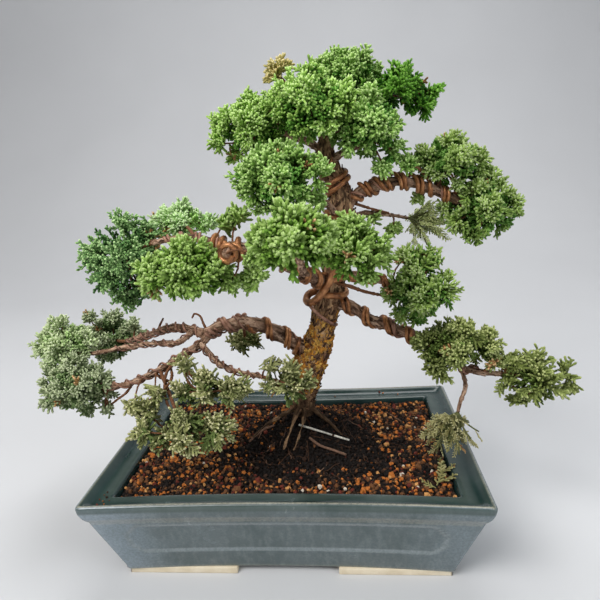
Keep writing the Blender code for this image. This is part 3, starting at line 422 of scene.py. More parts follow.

# Base colours of the leaves by palette, each as body and tip, in three steps of painted light and shade: in
# the shade, in between, and lit
PALETTES = {
    "sunny": (((0.077, 0.202, 0.024), (0.183, 0.403, 0.063)), ((0.213, 0.377, 0.065), (0.368, 0.572, 0.136)),
              ((0.327, 0.525, 0.111), (0.546, 0.752, 0.273))),
    "leafy": (((0.074, 0.206, 0.028), (0.171, 0.376, 0.069)), ((0.179, 0.327, 0.065), (0.306, 0.487, 0.126)),
              ((0.261, 0.436, 0.101), (0.476, 0.666, 0.246))),
    "dusky": (((0.085, 0.207, 0.029), (0.145, 0.284, 0.062)), ((0.209, 0.328, 0.069), (0.258, 0.368, 0.111)),
              ((0.303, 0.437, 0.107), (0.401, 0.503, 0.218))),
    "fresh": (((0.105, 0.213, 0.027), (0.210, 0.372, 0.058)), ((0.198, 0.319, 0.068), (0.286, 0.431, 0.109)),
              ((0.264, 0.415, 0.092), (0.429, 0.590, 0.207))),
    "vivid": (((0.036, 0.132, 0.011), (0.080, 0.215, 0.016)), ((0.077, 0.212, 0.017), (0.136, 0.324, 0.036)),
              ((0.113, 0.294, 0.028), (0.232, 0.451, 0.078))),
    "deep": (((0.062, 0.151, 0.043), (0.130, 0.280, 0.083)), ((0.177, 0.317, 0.111), (0.278, 0.464, 0.164)),
             ((0.248, 0.423, 0.159), (0.488, 0.679, 0.311))),
    "pale": (((0.340, 0.594, 0.146), (0.520, 0.806, 0.285)), ((0.390, 0.576, 0.234), (0.518, 0.701, 0.358)),
             ((0.472, 0.673, 0.305), (0.628, 0.807, 0.457))),
    "silver": (((0.296, 0.443, 0.162), (0.541, 0.740, 0.313)), ((0.367, 0.462, 0.223), (0.495, 0.594, 0.323)),
               ((0.466, 0.572, 0.301), (0.660, 0.741, 0.472))),
    "grey": (((0.142, 0.219, 0.080), (0.275, 0.392, 0.165)), ((0.186, 0.240, 0.111), (0.321, 0.382, 0.201)),
             ((0.282, 0.346, 0.181), (0.504, 0.565, 0.355))),
    "olive": (((0.086, 0.132, 0.026), (0.171, 0.251, 0.059)), ((0.157, 0.199, 0.050), (0.251, 0.298, 0.093)),
              ((0.241, 0.294, 0.088), (0.436, 0.482, 0.196))),
    "moss": (((0.111, 0.156, 0.044), (0.244, 0.304, 0.106)), ((0.194, 0.218, 0.078), (0.357, 0.363, 0.173)),
             ((0.322, 0.339, 0.140), (0.595, 0.573, 0.329))),
    "ashen": (((0.142, 0.156, 0.053), (0.236, 0.259, 0.103)), ((0.297, 0.276, 0.108), (0.432, 0.408, 0.199)),
              ((0.413, 0.388, 0.177), (0.626, 0.588, 0.342))),
    "tan": (((0.190, 0.165, 0.050), (0.380, 0.320, 0.110)), ((0.400, 0.345, 0.110), (0.640, 0.540, 0.230)),
            ((0.480, 0.420, 0.160), (0.740, 0.650, 0.330))),
    # painted light: a very pale palette that lifts the fan, which lies in shade under the upper right mass
    "painted_lit": (((0.375, 0.437, 0.187), (0.549, 0.605, 0.281)), ((0.625, 0.708, 0.315), (0.805, 0.851, 0.425)),
              ((0.725, 0.802, 0.374), (0.927, 0.950, 0.510))),
    "dead": (((0.160, 0.080, 0.030), (0.330, 0.170, 0.065)), ((0.290, 0.150, 0.055), (0.500, 0.290, 0.120)),
             ((0.380, 0.210, 0.085), (0.620, 0.420, 0.210))),
}

# Tufts beside a mass, on twigs of their own: centre, radius
SIDE_TUFTS = {
    "crown_left": (((-36, -4, 282), 9.0), ((-28, 4, 273), 7.0)),
    "crown_front": (((8, -18, 305), 11.0), ((45, -22, 301), 11.0)),
    "crown_right": (((101, 17, 301), 7.0),),
    "crown_right_front": (((75, -12, 272), 11.0), ((86, -9, 262), 8.0), ((69, -14, 262), 8.0)),
    "upper_front": (((-2, -46, 243), 10.0), ((28, -46, 244), 8.0)),
    "upper_right": (((119, 4, 247), 9.0), ((96, 12, 239), 6.0)),
    "upper_right_tip": (((134, 8, 213), 9.0), ((122, 10, 220), 8.0)),
    "front_mass": (((-16, -46, 195), 7.0), ((-8, -70, 216), 10.0)),
    "centre": (((66, -42, 206), 9.0), ((66, 17, 226), 7.0), ((78, 20, 218), 8.0)),
    "middle_left_tip": (((-110, -12, 182), 11.0), ((-94, -14, 186), 10.0),
                        ((-124, -6, 190), 9.0), ((-92, -4, 224), 9.0)),
    "middle_left_front": (((-22, -34, 235), 10.0), ((-33, -34, 230), 8.0),
                          ((-28, -50, 198), 10.0), ((-12, -46, 201), 9.0)),
    "middle_right": (((84, -17, 202), 10.0), ((98, -16, 203), 9.0), ((92, -20, 160), 9.0),
                     ((105, -20, 199), 7.0), ((81, -20, 166), 7.0)),
    "lower_right": (((101, -33, 133), 9.0), ((140, -31, 133), 8.0), ((105, -35, 127), 8.0)),
    "lower_right_tip": (((151, -30, 134), 8.0), ((160, -30, 108), 8.0)),
    "lower_left_back": (((-168, 44, 150), 8.0), ((-128, 40, 142), 9.0)),
    "lower_left_front": (((-150, -16, 96), 5.5), ((-135, -17, 96), 5.0)),
    "inner_left_upper": (((-28, -40, 122), 9.0), ((-66, -42, 139), 8.0)),
    "inner_left_lower": (((-90, -48, 106), 12.0), ((-88, -40, 119), 8.0), ((-99, -52, 115), 7.0)),
    "inner_front_tuft": (((-8, -32, 134), 7.0),),
}
DRY_TUFT = ("crown_front", (6, -10, 321), 11.5, "tan")

# Balls of air that no sprig's tip enters, where the tree has been cut back: centre, radius
CUT_BACK = (
    ((108, 18, 330), 17.0), ((87, -13, 291), 10.0), ((53, -13, 265), 10.0), ((147, 10, 283), 17.0),
    ((176, 11, 236), 11.0), ((-145, -10, 226), 13.0), ((-140, -10, 180), 10.0), ((-52, 27, 247), 14.0),
    ((-27, -51, 240), 12.0), ((-26, -51, 276), 12.0), ((204, -30, 124), 11.0), ((-194, -14, 94), 15.0),
    ((126, -20, 174), 12.0), ((52, -60, 199), 9.0), ((86, -29, 134), 8.0), ((-28, 0, 318), 12.0),
    ((78, 36, 344), 14.0), ((180, -30, 104), 9.0), ((23, -14, 333), 9.5), ((20, 20, 340), 7.0),
    ((206, -30, 134), 10.0), ((-187, -14, 106), 12.0), ((-180, -14, 88), 12.0), ((116, -20, 187), 8.0),
    ((52, -45, 202), 7.0), ((126, -40, 90), 9.0), ((53, -10, 272), 8.0), ((-139, -10, 217), 7.0),
    ((143, 10, 264), 7.0), ((53, 36, 360), 17.0), ((33, 36, 355), 12.0), ((75, 30, 339), 8.0),
)

# Where a dead sprig shows among the green
DEAD_PLACES = (
    (-98, -20, 187), (-91, 5, 221), (105, -45, 154), (133, -40, 135), (140, -40, 133), (-8, -10, 294),
    (10, -75, 252), (70, -34, 176), (-150, -30, 128),
)

# Upright shoots: the leader's length and tilt, the first finger's height and the rise to the next with its
# drift, their spread and how it narrows, their swing, and their reach, how it shrinks and by what it varies
Shoot = namedtuple("Shoot", "lead tilt first rise drift spread narrowing swing reach shrink lengths")
TUFT = Shoot((7.8, 9.6), 9, 0.3, 0.95, 0.3, (36, 62), 2.4, 30, 6.8, 0.5, (0.78, 1.15))
PLUME = Shoot((9.6, 12.4), 6, 0.6, 1.25, 0.2, (28, 50), 0.0, 25, 1.0, 0.0, (3.2, 5.0))
SPIRAL = 137.5
GOLDEN_TURN = math.pi * (3 - math.sqrt(5))

# Painted light on a sprig, which picks its tone: how much it owes to its depth in the mass and in its clump
# and to pointing up, less loss
DEPTH_LIGHT = 0.55
CLUMP_LIGHT = 0.45
UPWARD_LIGHT = 0.20
LIGHT_LOSS = 0.14

# Lights: name, place, power, size, colour; and the spot that they all face
LIGHTS = (
    ("key", (-0.75, -0.95, 1.35), 26.0, 0.9, (1.0, 0.98, 0.95)),
    ("fill", (1.2, -0.8, 0.9), 11.0, 1.2, (0.95, 0.98, 1.0)),
    ("top", (0.1, 0.5, 1.6), 15.0, 1.0, (1.0, 1.0, 1.0)),
)
LIGHT_AIM = (0, 0, 0.17)

# Camera: place, then yaw, pitch and roll in degrees, then lens and sensor
CAMERA_PLACE = (42.6, -383.4, 269.5)
CAMERA_ANGLES = (-4.70, 14.28, -2.79)
LENS = 33.24
SENSOR = 36.0


def world(point):
    """A point in the pot's frame, in millimetres, as a point of the part's frame in metres."""
    return POT_PLACE + Vector(point[:3]) * MM


def deselect_all():
    bpy.ops.object.select_all(action="DESELECT")


def activate(item):
    deselect_all()
    item.select_set(True)
    bpy.context.view_layer.objects.active = item


def apply_modifiers(item):
    activate(item)
    for modifier in list(item.modifiers):
        bpy.ops.object.modifier_apply(modifier=modifier.name)


def tidy_mesh(item, merge=0.01 * MM):
    """Merges doubles and turns all faces outwards."""
    activate(item)
    bpy.ops.object.mode_set(mode="EDIT")
    bpy.ops.mesh.select_all(action="SELECT")
    bpy.ops.mesh.remove_doubles(threshold=merge)
    bpy.ops.mesh.normals_make_consistent(inside=False)
    bpy.ops.object.mode_set(mode="OBJECT")


def select_edges(item, chosen):
    """In edit mode, selects the edges that a rule chooses and no others."""
    bpy.ops.mesh.select_all(action="DESELECT")
    bm = bmesh.from_edit_mesh(item.data)
    for edge in bm.edges:
        edge.select_set(chosen(edge))
    bmesh.update_edit_mesh(item.data)


def sized_piece(operator, name, place, size, **options):
    """A primitive added at its place, with its size in millimetres applied to its mesh."""
    deselect_all()
    operator(size=1.0, location=world(place), **options)
    item = bpy.context.active_object
    item.name = name
    item.scale = [length * MM for length in size]
    bpy.ops.object.transform_apply(location=True, rotation=True, scale=True)
    return item


def join_pieces(items):
    """Joins pieces into the first of them, and returns it."""
    deselect_all()
    for item in items:
        item.select_set(True)
    bpy.context.view_layer.objects.active = items[0]
    if len(items) > 1:
        bpy.ops.object.join()
    return items[0]


def dress(item, material, sharp=180):
    """Gives a piece its one material, smooth up to an angle in degrees."""
    item.data.materials.clear()
    item.data.materials.append(material)
    activate(item)
    if sharp == 180:
        item.data.shade_smooth()
    else:
        bpy.ops.object.shade_smooth_by_angle(angle=math.radians(sharp))


def stands_for(item, slot, *nodes):
    """Puts a finished piece on the plant's body and hides the nodes it stands for. Its slot is not used."""
    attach(item, BODY)
    if nodes:
        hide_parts(*nodes)


def turned(side, other, angle):
    """The direction at an angle from one side towards the other."""
    return side * math.cos(angle) + other * math.sin(angle)


def read_vectors(vertices, field):
    """A field of every vertex, as rows of three."""
    values = np.zeros(len(vertices) * 3)
    vertices.foreach_get(field, values)
    return values.reshape(-1, 3)


def smooth_path(points, spacing):
    """Points about one spacing apart on a Catmull-Rom curve through points of any dimension."""
    rows = [Vector(point) for point in points]
    ends = [rows[0] * 2 - rows[1]] + rows + [rows[-1] * 2 - rows[-2]]
    path = []
    for before, start, end, after in zip(ends, ends[1:], ends[2:], ends[3:]):
        steps = max(1, round((end - start).to_3d().length / spacing))
        for step in range(steps):
            t = step / steps
            bend = (end - before) * t + (before * 2 - start * 5 + end * 4 - after) * t ** 2
            bend += (start * 3 - before - end * 3 + after) * t ** 3
            path.append(start + bend / 2)
    path.append(rows[-1])
    return path


class Path:
    """A limb's centre line with the radius at each point, and a frame that turns with it."""

    def __init__(self, rows):
        self.points = [row.to_3d() for row in rows]
        self.radii = [row[3] for row in rows]
        self.lengths = [0.0]
        for start, end in zip(self.points, self.points[1:]):
            self.lengths.append(self.lengths[-1] + (end - start).length)
        self.line = np.array([tuple(point) for point in self.points])
        self.girth = np.array(self.radii)
        axes = [(end - start).normalized() for start, end in zip(self.points, self.points[1:])]
        side = axes[0].orthogonal().normalized()
        self.axes, self.sides = [], []
        for axis in axes:
            side = (side - axis * side.dot(axis)).normalized()
            self.axes.append(tuple(axis))
            self.sides.append(tuple(side))

    def at(self, share):
        """Position, radius and direction at a share of the length."""
        target = share * self.lengths[-1]
        index = min(max(np.searchsorted(self.lengths, target) - 1, 0), len(self.points) - 2)
        span = self.lengths[index + 1] - self.lengths[index]
        t = (target - self.lengths[index]) / span
        start, end = self.points[index], self.points[index + 1]
        radius = self.radii[index] * (1 - t) + self.radii[index + 1] * t
        return start.lerp(end, t), radius, (end - start).normalized()

    def nearest(self, places):
        """For each place: distance to the surface, segment, share of it, offset from the line."""
        start = self.line[:-1]
        axis = self.line[1:] - start
        away = places[:, None, :] - start[None]
        t = np.clip((away * axis).sum(2) / (axis * axis).sum(1), 0, 1)
        offset = away - t[:, :, None] * axis
        radius = self.girth[:-1] * (1 - t) + self.girth[1:] * t
        gap = np.linalg.norm(offset, axis=2) - radius
        best = gap.argmin(1)
        rows = np.arange(len(places))
        return gap[rows, best], best, t[rows, best], offset[rows, best]


def lay_out_limbs(spacing):
    """Centre lines of the trunk and of every limb, each starting inside the one that carries it."""
    paths = {"trunk": Path(smooth_path(TRUNK_ROUTE, spacing))}
    for name, limb in LIMBS.items():
        start = paths[limb.carrier].at(limb.share)[0]
        way = [start] + [Vector(point) for point in limb.route]
        rows = []
        for index, point in enumerate(way):
            t = index / (len(way) - 1)
            rows.append((*point, limb.thick * (1 - t) + limb.thin * t))
        paths[name] = Path(smooth_path(rows, spacing))
    return paths


# Materials

def new_material(name, roughness=0.6, metallic=0.0, specular=0.5):
    material = bpy.data.materials.new(name)
    material.use_nodes = True
    shader = material.node_tree.nodes["Principled BSDF"]
    shader.inputs["Roughness"].default_value = roughness
    shader.inputs["Metallic"].default_value = metallic
    shader.inputs["Specular IOR Level"].default_value = specular
    return material


def add_node(material, kind, **inputs):
    """Adds a shader node; a value that is a socket is linked, and any other is set."""
    tree = material.node_tree
    item = tree.nodes.new(kind)
    for key, value in inputs.items():
        socket = item.inputs[int(key[1:])] if key[0] == "i" and key[1:].isdigit() else item.inputs[key]
        if isinstance(value, bpy.types.NodeSocket):
            tree.links.new(value, socket)
        else:
            socket.default_value = value
    return item


def set_input(material, name, socket):
    shader = material.node_tree.nodes["Principled BSDF"]
    material.node_tree.links.new(socket, shader.inputs[name])


def object_place(material):
    return add_node(material, "ShaderNodeTexCoord").outputs["Object"]


def attribute(material, name, output="Vector"):
    item = add_node(material, "ShaderNodeAttribute")
    item.attribute_name = name
    return item.outputs[output]


def noise_of(material, place, scale, detail=3.0, roughness=0.55):
    return add_node(material, "ShaderNodeTexNoise", Vector=place, Scale=scale, Detail=detail,
                    Roughness=roughness).outputs["Fac"]


def stretched(material, place, scale):
    return add_node(material, "ShaderNodeMapping", Vector=place, Scale=scale).outputs["Vector"]


def toned(colour, share):
    """A colour made darker or lighter."""
    return tuple(min(1.0, part * share) for part in colour)


def ramp_of(material, value, stops):
    """A colour ramp over (position, colour) stops."""
    item = add_node(material, "ShaderNodeValToRGB", Fac=value)
    elements = item.color_ramp.elements
    for _ in range(len(stops) - 2):
        elements.new(0.5)
    for element, (position, colour) in zip(elements, stops):
        element.position = position
        element.color = (*colour, 1.0)
    return item.outputs["Color"]


def blend_of(material, share, first, second, mode="MIX"):
    item = add_node(material, "ShaderNodeMix")
    item.data_type = "RGBA"
    item.blend_type = mode
    for socket, value in ((item.inputs[0], share), (item.inputs[6], first), (item.inputs[7], second)):
        if isinstance(value, bpy.types.NodeSocket):
            material.node_tree.links.new(value, socket)
        elif isinstance(value, tuple):
            socket.default_value = (*value, 1.0)
        else:
            socket.default_value = value
    return item.outputs[2]


def span_of(material, value, low, high, to_low=0.0, to_high=1.0):
    limits = {"From Min": low, "From Max": high, "To Min": to_low, "To Max": to_high}
    return add_node(material, "ShaderNodeMapRange", Value=value, **limits).outputs["Result"]


def maths(material, operation, first, second):
    item = add_node(material, "ShaderNodeMath", i0=first, i1=second)
    item.operation = operation
    return item.outputs[0]


def bump_from(material, height, strength, distance):
    item = add_node(material, "ShaderNodeBump", Height=height, Strength=strength, Distance=distance)
    set_input(material, "Normal", item.outputs["Normal"])


def leaf_material(name, colour):
    """Matt scale leaves: small scales in relief and a slight drift of the base colour."""
    material = new_material(name, roughness=0.6, specular=0.15)
    place = object_place(material)
    drift = noise_of(material, place, 260.0, 2.0)
    set_input(material, "Base Color", ramp_of(material, drift, ((0.35, toned(colour, 0.78)),
                                                              (0.65, toned(colour, 1.2)))))
    bump_from(material, noise_of(material, place, 1500.0, 1.0), 0.5, 0.0003)
    return material


def bark_material(name, dark, middle, light, moss=None):
    """Bark whose colour follows its relief: dark cracks, partly painted shade, fibres along the limb, paler
    plates, ochre scale.
    """
    material = new_material(name, roughness=0.85, specular=0.2)
    grain = attribute(material, "grain")
    relief = attribute(material, "relief", "Fac")
    fibre = noise_of(material, stretched(material, grain, (1.0, 1.0, 0.3)), 900.0, 5.0, 0.68)
    plates = noise_of(material, stretched(material, grain, (1.0, 1.0, 0.42)), 330.0, 3.0, 0.6)
    cracks = noise_of(material, stretched(material, grain, (1.0, 1.0, 0.16)), 620.0, 3.0, 0.6)
    patch = noise_of(material, grain, 110.0, 3.0)
    # the sunk parts of the relief are darker, as the bark's own colour and as painted shade in its cracks
    mixed = maths(material, "ADD", maths(material, "MULTIPLY", relief, 0.55),
                  maths(material, "MULTIPLY", fibre, 0.45))
    colour = ramp_of(material, mixed, ((0.34, dark), (0.48, middle), (0.64, light)))
    colour = blend_of(material, span_of(material, patch, 0.45, 0.62, 0.0, 0.7), colour,
                      toned(middle, 0.62))
    colour = blend_of(material, span_of(material, plates, 0.55, 0.60, 0.0, 0.75), colour,
                      toned(light, 1.25))
    colour = blend_of(material, span_of(material, cracks, 0.36, 0.43, 0.85, 0.0), colour, dark)
    if moss:
        crust = noise_of(material, grain, 420.0, 4.0)
        share = maths(material, "MULTIPLY", attribute(material, "burl", "Fac"),
                      span_of(material, crust, 0.47, 0.58))
        colour = blend_of(material, share, colour, moss)
        # darker low on the trunk, towards the soil
        low_darkening = span_of(material, attribute(material, "low_darkening", "Fac"), 0.0, 1.0, 0.0, 0.8)
        colour = blend_of(material, low_darkening, colour, toned(dark, 0.7))
    set_input(material, "Base Color", colour)
    bump_from(material, maths(material, "ADD", fibre, maths(material, "MULTIPLY", plates, 0.8)), 0.8, 0.0008)
    return material


def wire_material(name, dark, middle, light, roughness, metallic):
    """Anodised aluminium wire, scuffed lighter and tarnished darker."""
    material = new_material(name, roughness=roughness, metallic=metallic, specular=0.5)
    place = object_place(material)
    tarnish = noise_of(material, place, 190.0, 4.0)
    scuff = noise_of(material, place, 900.0, 3.0, 0.7)
    colour = ramp_of(material, tarnish, ((0.34, dark), (0.5, middle), (0.68, light)))
    colour = blend_of(material, span_of(material, scuff, 0.6, 0.72, 0.0, 0.6), colour,
                      toned(light, 1.35))
    set_input(material, "Base Color", colour)
    set_input(material, "Roughness", span_of(material, scuff, 0.3, 0.7, roughness - 0.08, roughness + 0.18))
    bump_from(material, scuff, 0.25, 0.0003)
    return material


def flake_material(name, colour):
    """A dry scale of bark, fibrous and darker in streaks."""
    material = new_material(name, roughness=0.9, specular=0.15)
    streak = noise_of(material, object_place(material), 620.0, 3.0, 0.6)
    set_input(material, "Base Color", ramp_of(material, streak, ((0.36, toned(colour, 0.55)),
                                                               (0.66, toned(colour, 1.3)))))
    bump_from(material, streak, 0.4, 0.0004)
    return material


def glaze_material():
    """Blue-green glaze: mottled on the walls, with a painted sheen on the ends, deep where it pools, pale
    along the edges.
    """
    material = new_material("glaze", roughness=0.2, specular=0.5)
    place = object_place(material)
    cloud = noise_of(material, place, 26.0, 5.0, 0.6)
    speck = noise_of(material, place, 620.0, 4.0, 0.65)
    streak = noise_of(material, stretched(material, place, (1.0, 1.0, 0.22)), 230.0, 4.0)
    wall = ramp_of(material, cloud, ((0.3, (0.070, 0.100, 0.102)), (0.5, (0.108, 0.137, 0.140)),
                                     (0.72, (0.145, 0.178, 0.188))))
    wall = blend_of(material, span_of(material, streak, 0.46, 0.68, 0.0, 0.55), wall, (0.190, 0.228, 0.240))
    # painted sheen: a pale blue bloom that stands for the window's reflection on the pot's ends, also laid
    # along the panels' lines
    painted_sheen = span_of(material, attribute(material, "painted_sheen", "Fac"), 0.0, 1.0, 0.0, 0.85)
    wall = blend_of(material, painted_sheen, wall, (0.300, 0.365, 0.420))
    wall = blend_of(material, span_of(material, speck, 0.36, 0.62, 0.36, 0.0), wall, (0.056, 0.090, 0.090))
    deep = ramp_of(material, cloud, ((0.3, (0.008, 0.026, 0.026)), (0.6, (0.020, 0.046, 0.044)),
                                     (0.8, (0.045, 0.080, 0.076))))
    rim = ramp_of(material, cloud, ((0.3, (0.036, 0.060, 0.054)), (0.6, (0.062, 0.088, 0.080)),
                                    (0.8, (0.100, 0.130, 0.120))))
    pool = attribute(material, "pool", "Fac")
    colour = blend_of(material, span_of(material, pool, 0.0, 0.5), wall, rim)
    colour = blend_of(material, span_of(material, pool, 0.52, 0.95), colour, deep)
    broken = maths(material, "MULTIPLY", attribute(material, "edge", "Fac"),
                   span_of(material, speck, 0.36, 0.56, 0.4, 1.0))
    colour = blend_of(material, broken, colour, (0.40, 0.38, 0.30))
    set_input(material, "Base Color", colour)
    set_input(material, "Roughness", span_of(material, cloud, 0.35, 0.7, 0.16, 0.28))
    bump_from(material, cloud, 0.25, 0.002)
    return material


def clay_material():
    """Unglazed cream clay with fine grit."""
    material = new_material("bare_clay", roughness=0.8, specular=0.2)
    place = object_place(material)
    grit = noise_of(material, place, 1100.0, 3.0)
    tone = noise_of(material, place, 90.0, 3.0)
    colour = ramp_of(material, tone, ((0.35, (0.70, 0.60, 0.44)), (0.65, (0.82, 0.73, 0.57))))
    set_input(material, "Base Color", colour)
    bump_from(material, grit, 0.4, 0.0005)
    return material


def grain_material(name, colour, roughness=0.8):
    """Fired clay or pumice grains with pitted faces."""
    material = new_material(name, roughness=roughness, specular=0.15)
    place = object_place(material)
    pits = noise_of(material, place, 700.0, 4.0, 0.65)
    set_input(material, "Base Color", ramp_of(material, pits, ((0.35, toned(colour, 0.55)),
                                                             (0.68, toned(colour, 1.35)))))
    bump_from(material, pits, 0.6, 0.0006)
    return material


# Joined meshes from arrays

class Batch:
    """Collects many small closed shapes as arrays and joins them into one mesh."""

    def __init__(self):
        self.verts, self.corners, self.sizes, self.slots, self.count = [], [], [], [], 0

    def add(self, verts, corners, sizes, slots):
        self.verts.append(verts)
        self.corners.append(corners + self.count)
        self.sizes.append(sizes)
        self.slots.append(slots)
        self.count += len(verts)

    def add_copies(self, shape, places, frames, scales, slots):
        """One copy of a shape for each place: frames are 3 by 3, columns across, normal, forward."""
        verts, corners, sizes, own = shape
        number = len(places)
        if not number:
            return
        copies = np.einsum("nij,vj->nvi", frames, verts) * scales[:, None, None] + places[:, None, :]
        steps = np.arange(number) * len(verts)
        self.add(copies.reshape(-1, 3), (corners[None] + steps[:, None]).ravel(), np.tile(sizes, number),
                 (own[None] + slots[:, None]).ravel())

    def add_round(self, points, radii, sides, slot=0):
        """A closed tapering round piece along points."""
        self.add(*shape_of([round_piece(points, radii, sides, slot)]))

    def add_twig(self, start, end, lift, radii, sides, slot, rings=5):
        """A twig between two points that bows by a lift."""
        shares = [step / (rings - 1) for step in range(rings)]
        points = [start.lerp(end, t) + lift * 4 * t * (1 - t) for t in shares]
        thick = [radii[0] * (1 - t) + radii[1] * step / (rings - 1) for step, t in enumerate(shares)]
        self.add_round(points, thick, sides, slot)

    def triangles(self):
        return sum(int((sizes - 2).sum()) for sizes in self.sizes)

    def make(self, name, materials, smooth=True):
        verts = np.concatenate(self.verts) * MM + np.array(POT_PLACE)
        corners, sizes = np.concatenate(self.corners), np.concatenate(self.sizes)
        mesh = bpy.data.meshes.new(name)
        mesh.vertices.add(len(verts))
        mesh.vertices.foreach_set("co", verts.astype(np.float32).ravel())
        mesh.loops.add(len(corners))
        mesh.loops.foreach_set("vertex_index", corners.astype(np.int32))
        mesh.polygons.add(len(sizes))
        mesh.polygons.foreach_set("loop_start", np.concatenate(([0], np.cumsum(sizes)[:-1])).astype(np.int32))
        mesh.polygons.foreach_set("loop_total", sizes.astype(np.int32))
        mesh.polygons.foreach_set("material_index", np.concatenate(self.slots).astype(np.int32))
        mesh.polygons.foreach_set("use_smooth", np.full(len(sizes), smooth))
        for material in materials:
            mesh.materials.append(material)
        mesh.update(calc_edges=True)
        item = bpy.data.objects.new(name, mesh)
        bpy.context.scene.collection.objects.link(item)
        return item


def shape_of(parts):
    """Joins (verts, faces, slot) parts into the arrays of one shape."""
    verts, corners, sizes, slots = [], [], [], []
    for part_verts, faces, part_slots in parts:
        base = len(verts)
        verts += [tuple(vert) for vert in part_verts]
        for face, slot in zip(faces, part_slots):
            corners += [base + corner for corner in face]
            sizes.append(len(face))
            slots.append(slot)
    return np.array(verts, float), np.array(corners), np.array(sizes), np.array(slots)


def ring_faces(count, sides):
    """The faces of a closed piece made of rings, with a flat face at each end."""
    faces = [tuple(reversed(range(sides)))]
    for ring in range(count - 1):
        for step in range(sides):
            following = (step + 1) % sides
            faces.append((ring * sides + step, ring * sides + following,
                          (ring + 1) * sides + following, (ring + 1) * sides + step))
    faces.append(tuple(range((count - 1) * sides, count * sides)))
    return faces


def round_piece(points, radii, sides, slot=0):
    """A closed tapering round piece along points, as arrays."""
    axes = [(end - start).normalized() for start, end in zip(points, points[1:])]
    axes.append(axes[-1])
    side = axes[0].orthogonal().normalized()
    rings = []
    for point, axis, radius in zip(points, axes, radii):
        side = (side - axis * side.dot(axis)).normalized()
        other = axis.cross(side)
        for step in range(sides):
            rings.append(tuple(point + turned(side, other, math.tau * step / sides) * radius))
    faces = ring_faces(len(points), sides)
    return rings, faces, [slot] * len(faces)


# Pot

def wall_inset(height):
    share = (height - BASE_HEIGHT) / (LIP_UNDERSIDE - BASE_HEIGHT)
    return WALL_INSET_LOW + (WALL_INSET_HIGH - WALL_INSET_LOW) * share


def extrude_to(height, inset, now):
    """Extrudes the selected face to a height and sizes it to an inset from the rim."""
    old_height, old_inset = now
    bpy.ops.mesh.extrude_region_move(TRANSFORM_OT_translate={"value": (0, 0, (height - old_height) * MM)})
    value = [(half - inset) / (half - old_inset) for half in RIM_HALF]
    bpy.ops.transform.resize(value=(*value, 1.0), center_override=world((0, 0, height)))
    return height, inset


def make_pot(glaze):
    """A rounded plate extruded level by level into walls, a rolled lip, a dished rim and a hollow."""
    size = [2 * (half - WALL_INSET_LOW) for half in RIM_HALF] + [1.0]
    pot = sized_piece(bpy.ops.mesh.primitive_plane_add, "glazed_pot", (0, 0, BASE_HEIGHT), size)
    bpy.ops.object.mode_set(mode="EDIT")
    bpy.ops.mesh.select_all(action="SELECT")
    bpy.ops.mesh.bevel(offset=WALL_CORNER * MM, segments=6, affect="VERTICES")
    select_edges(pot, lambda edge: edge.calc_length() > 20 * MM)
    bpy.ops.mesh.subdivide(number_cuts=100)
    bpy.ops.mesh.select_all(action="SELECT")
    levels = [(BASE_HEIGHT + 1.0, WALL_INSET_LOW - 0.7)]
    levels += [(height, wall_inset(height)) for height in np.arange(7.0, LIP_UNDERSIDE - 2, 1.4).tolist()]
    now = (BASE_HEIGHT, WALL_INSET_LOW)
    for height, inset in levels + list(LIP_PROFILE):
        now = extrude_to(height, inset, now)
    bpy.ops.mesh.select_all(action="SELECT")
    bpy.ops.mesh.normals_make_consistent(inside=False)
    bpy.ops.object.mode_set(mode="OBJECT")
    shape_pot(pot)
    dress(pot, glaze, 50)
    stands_for(pot, "glaze", "pot")


def within_panel(along, height, half):
    """Distance inside the edge of a wall's panel, an oblong with its corners cut off."""
    middle, tall = (PANEL_LOW + PANEL_HIGH) / 2, (PANEL_HIGH - PANEL_LOW) / 2
    across, up = half - PANEL_END - abs(along), tall - abs(height - middle)
    return min(across, up, (across + up - PANEL_CHAMFER) / math.sqrt(2))


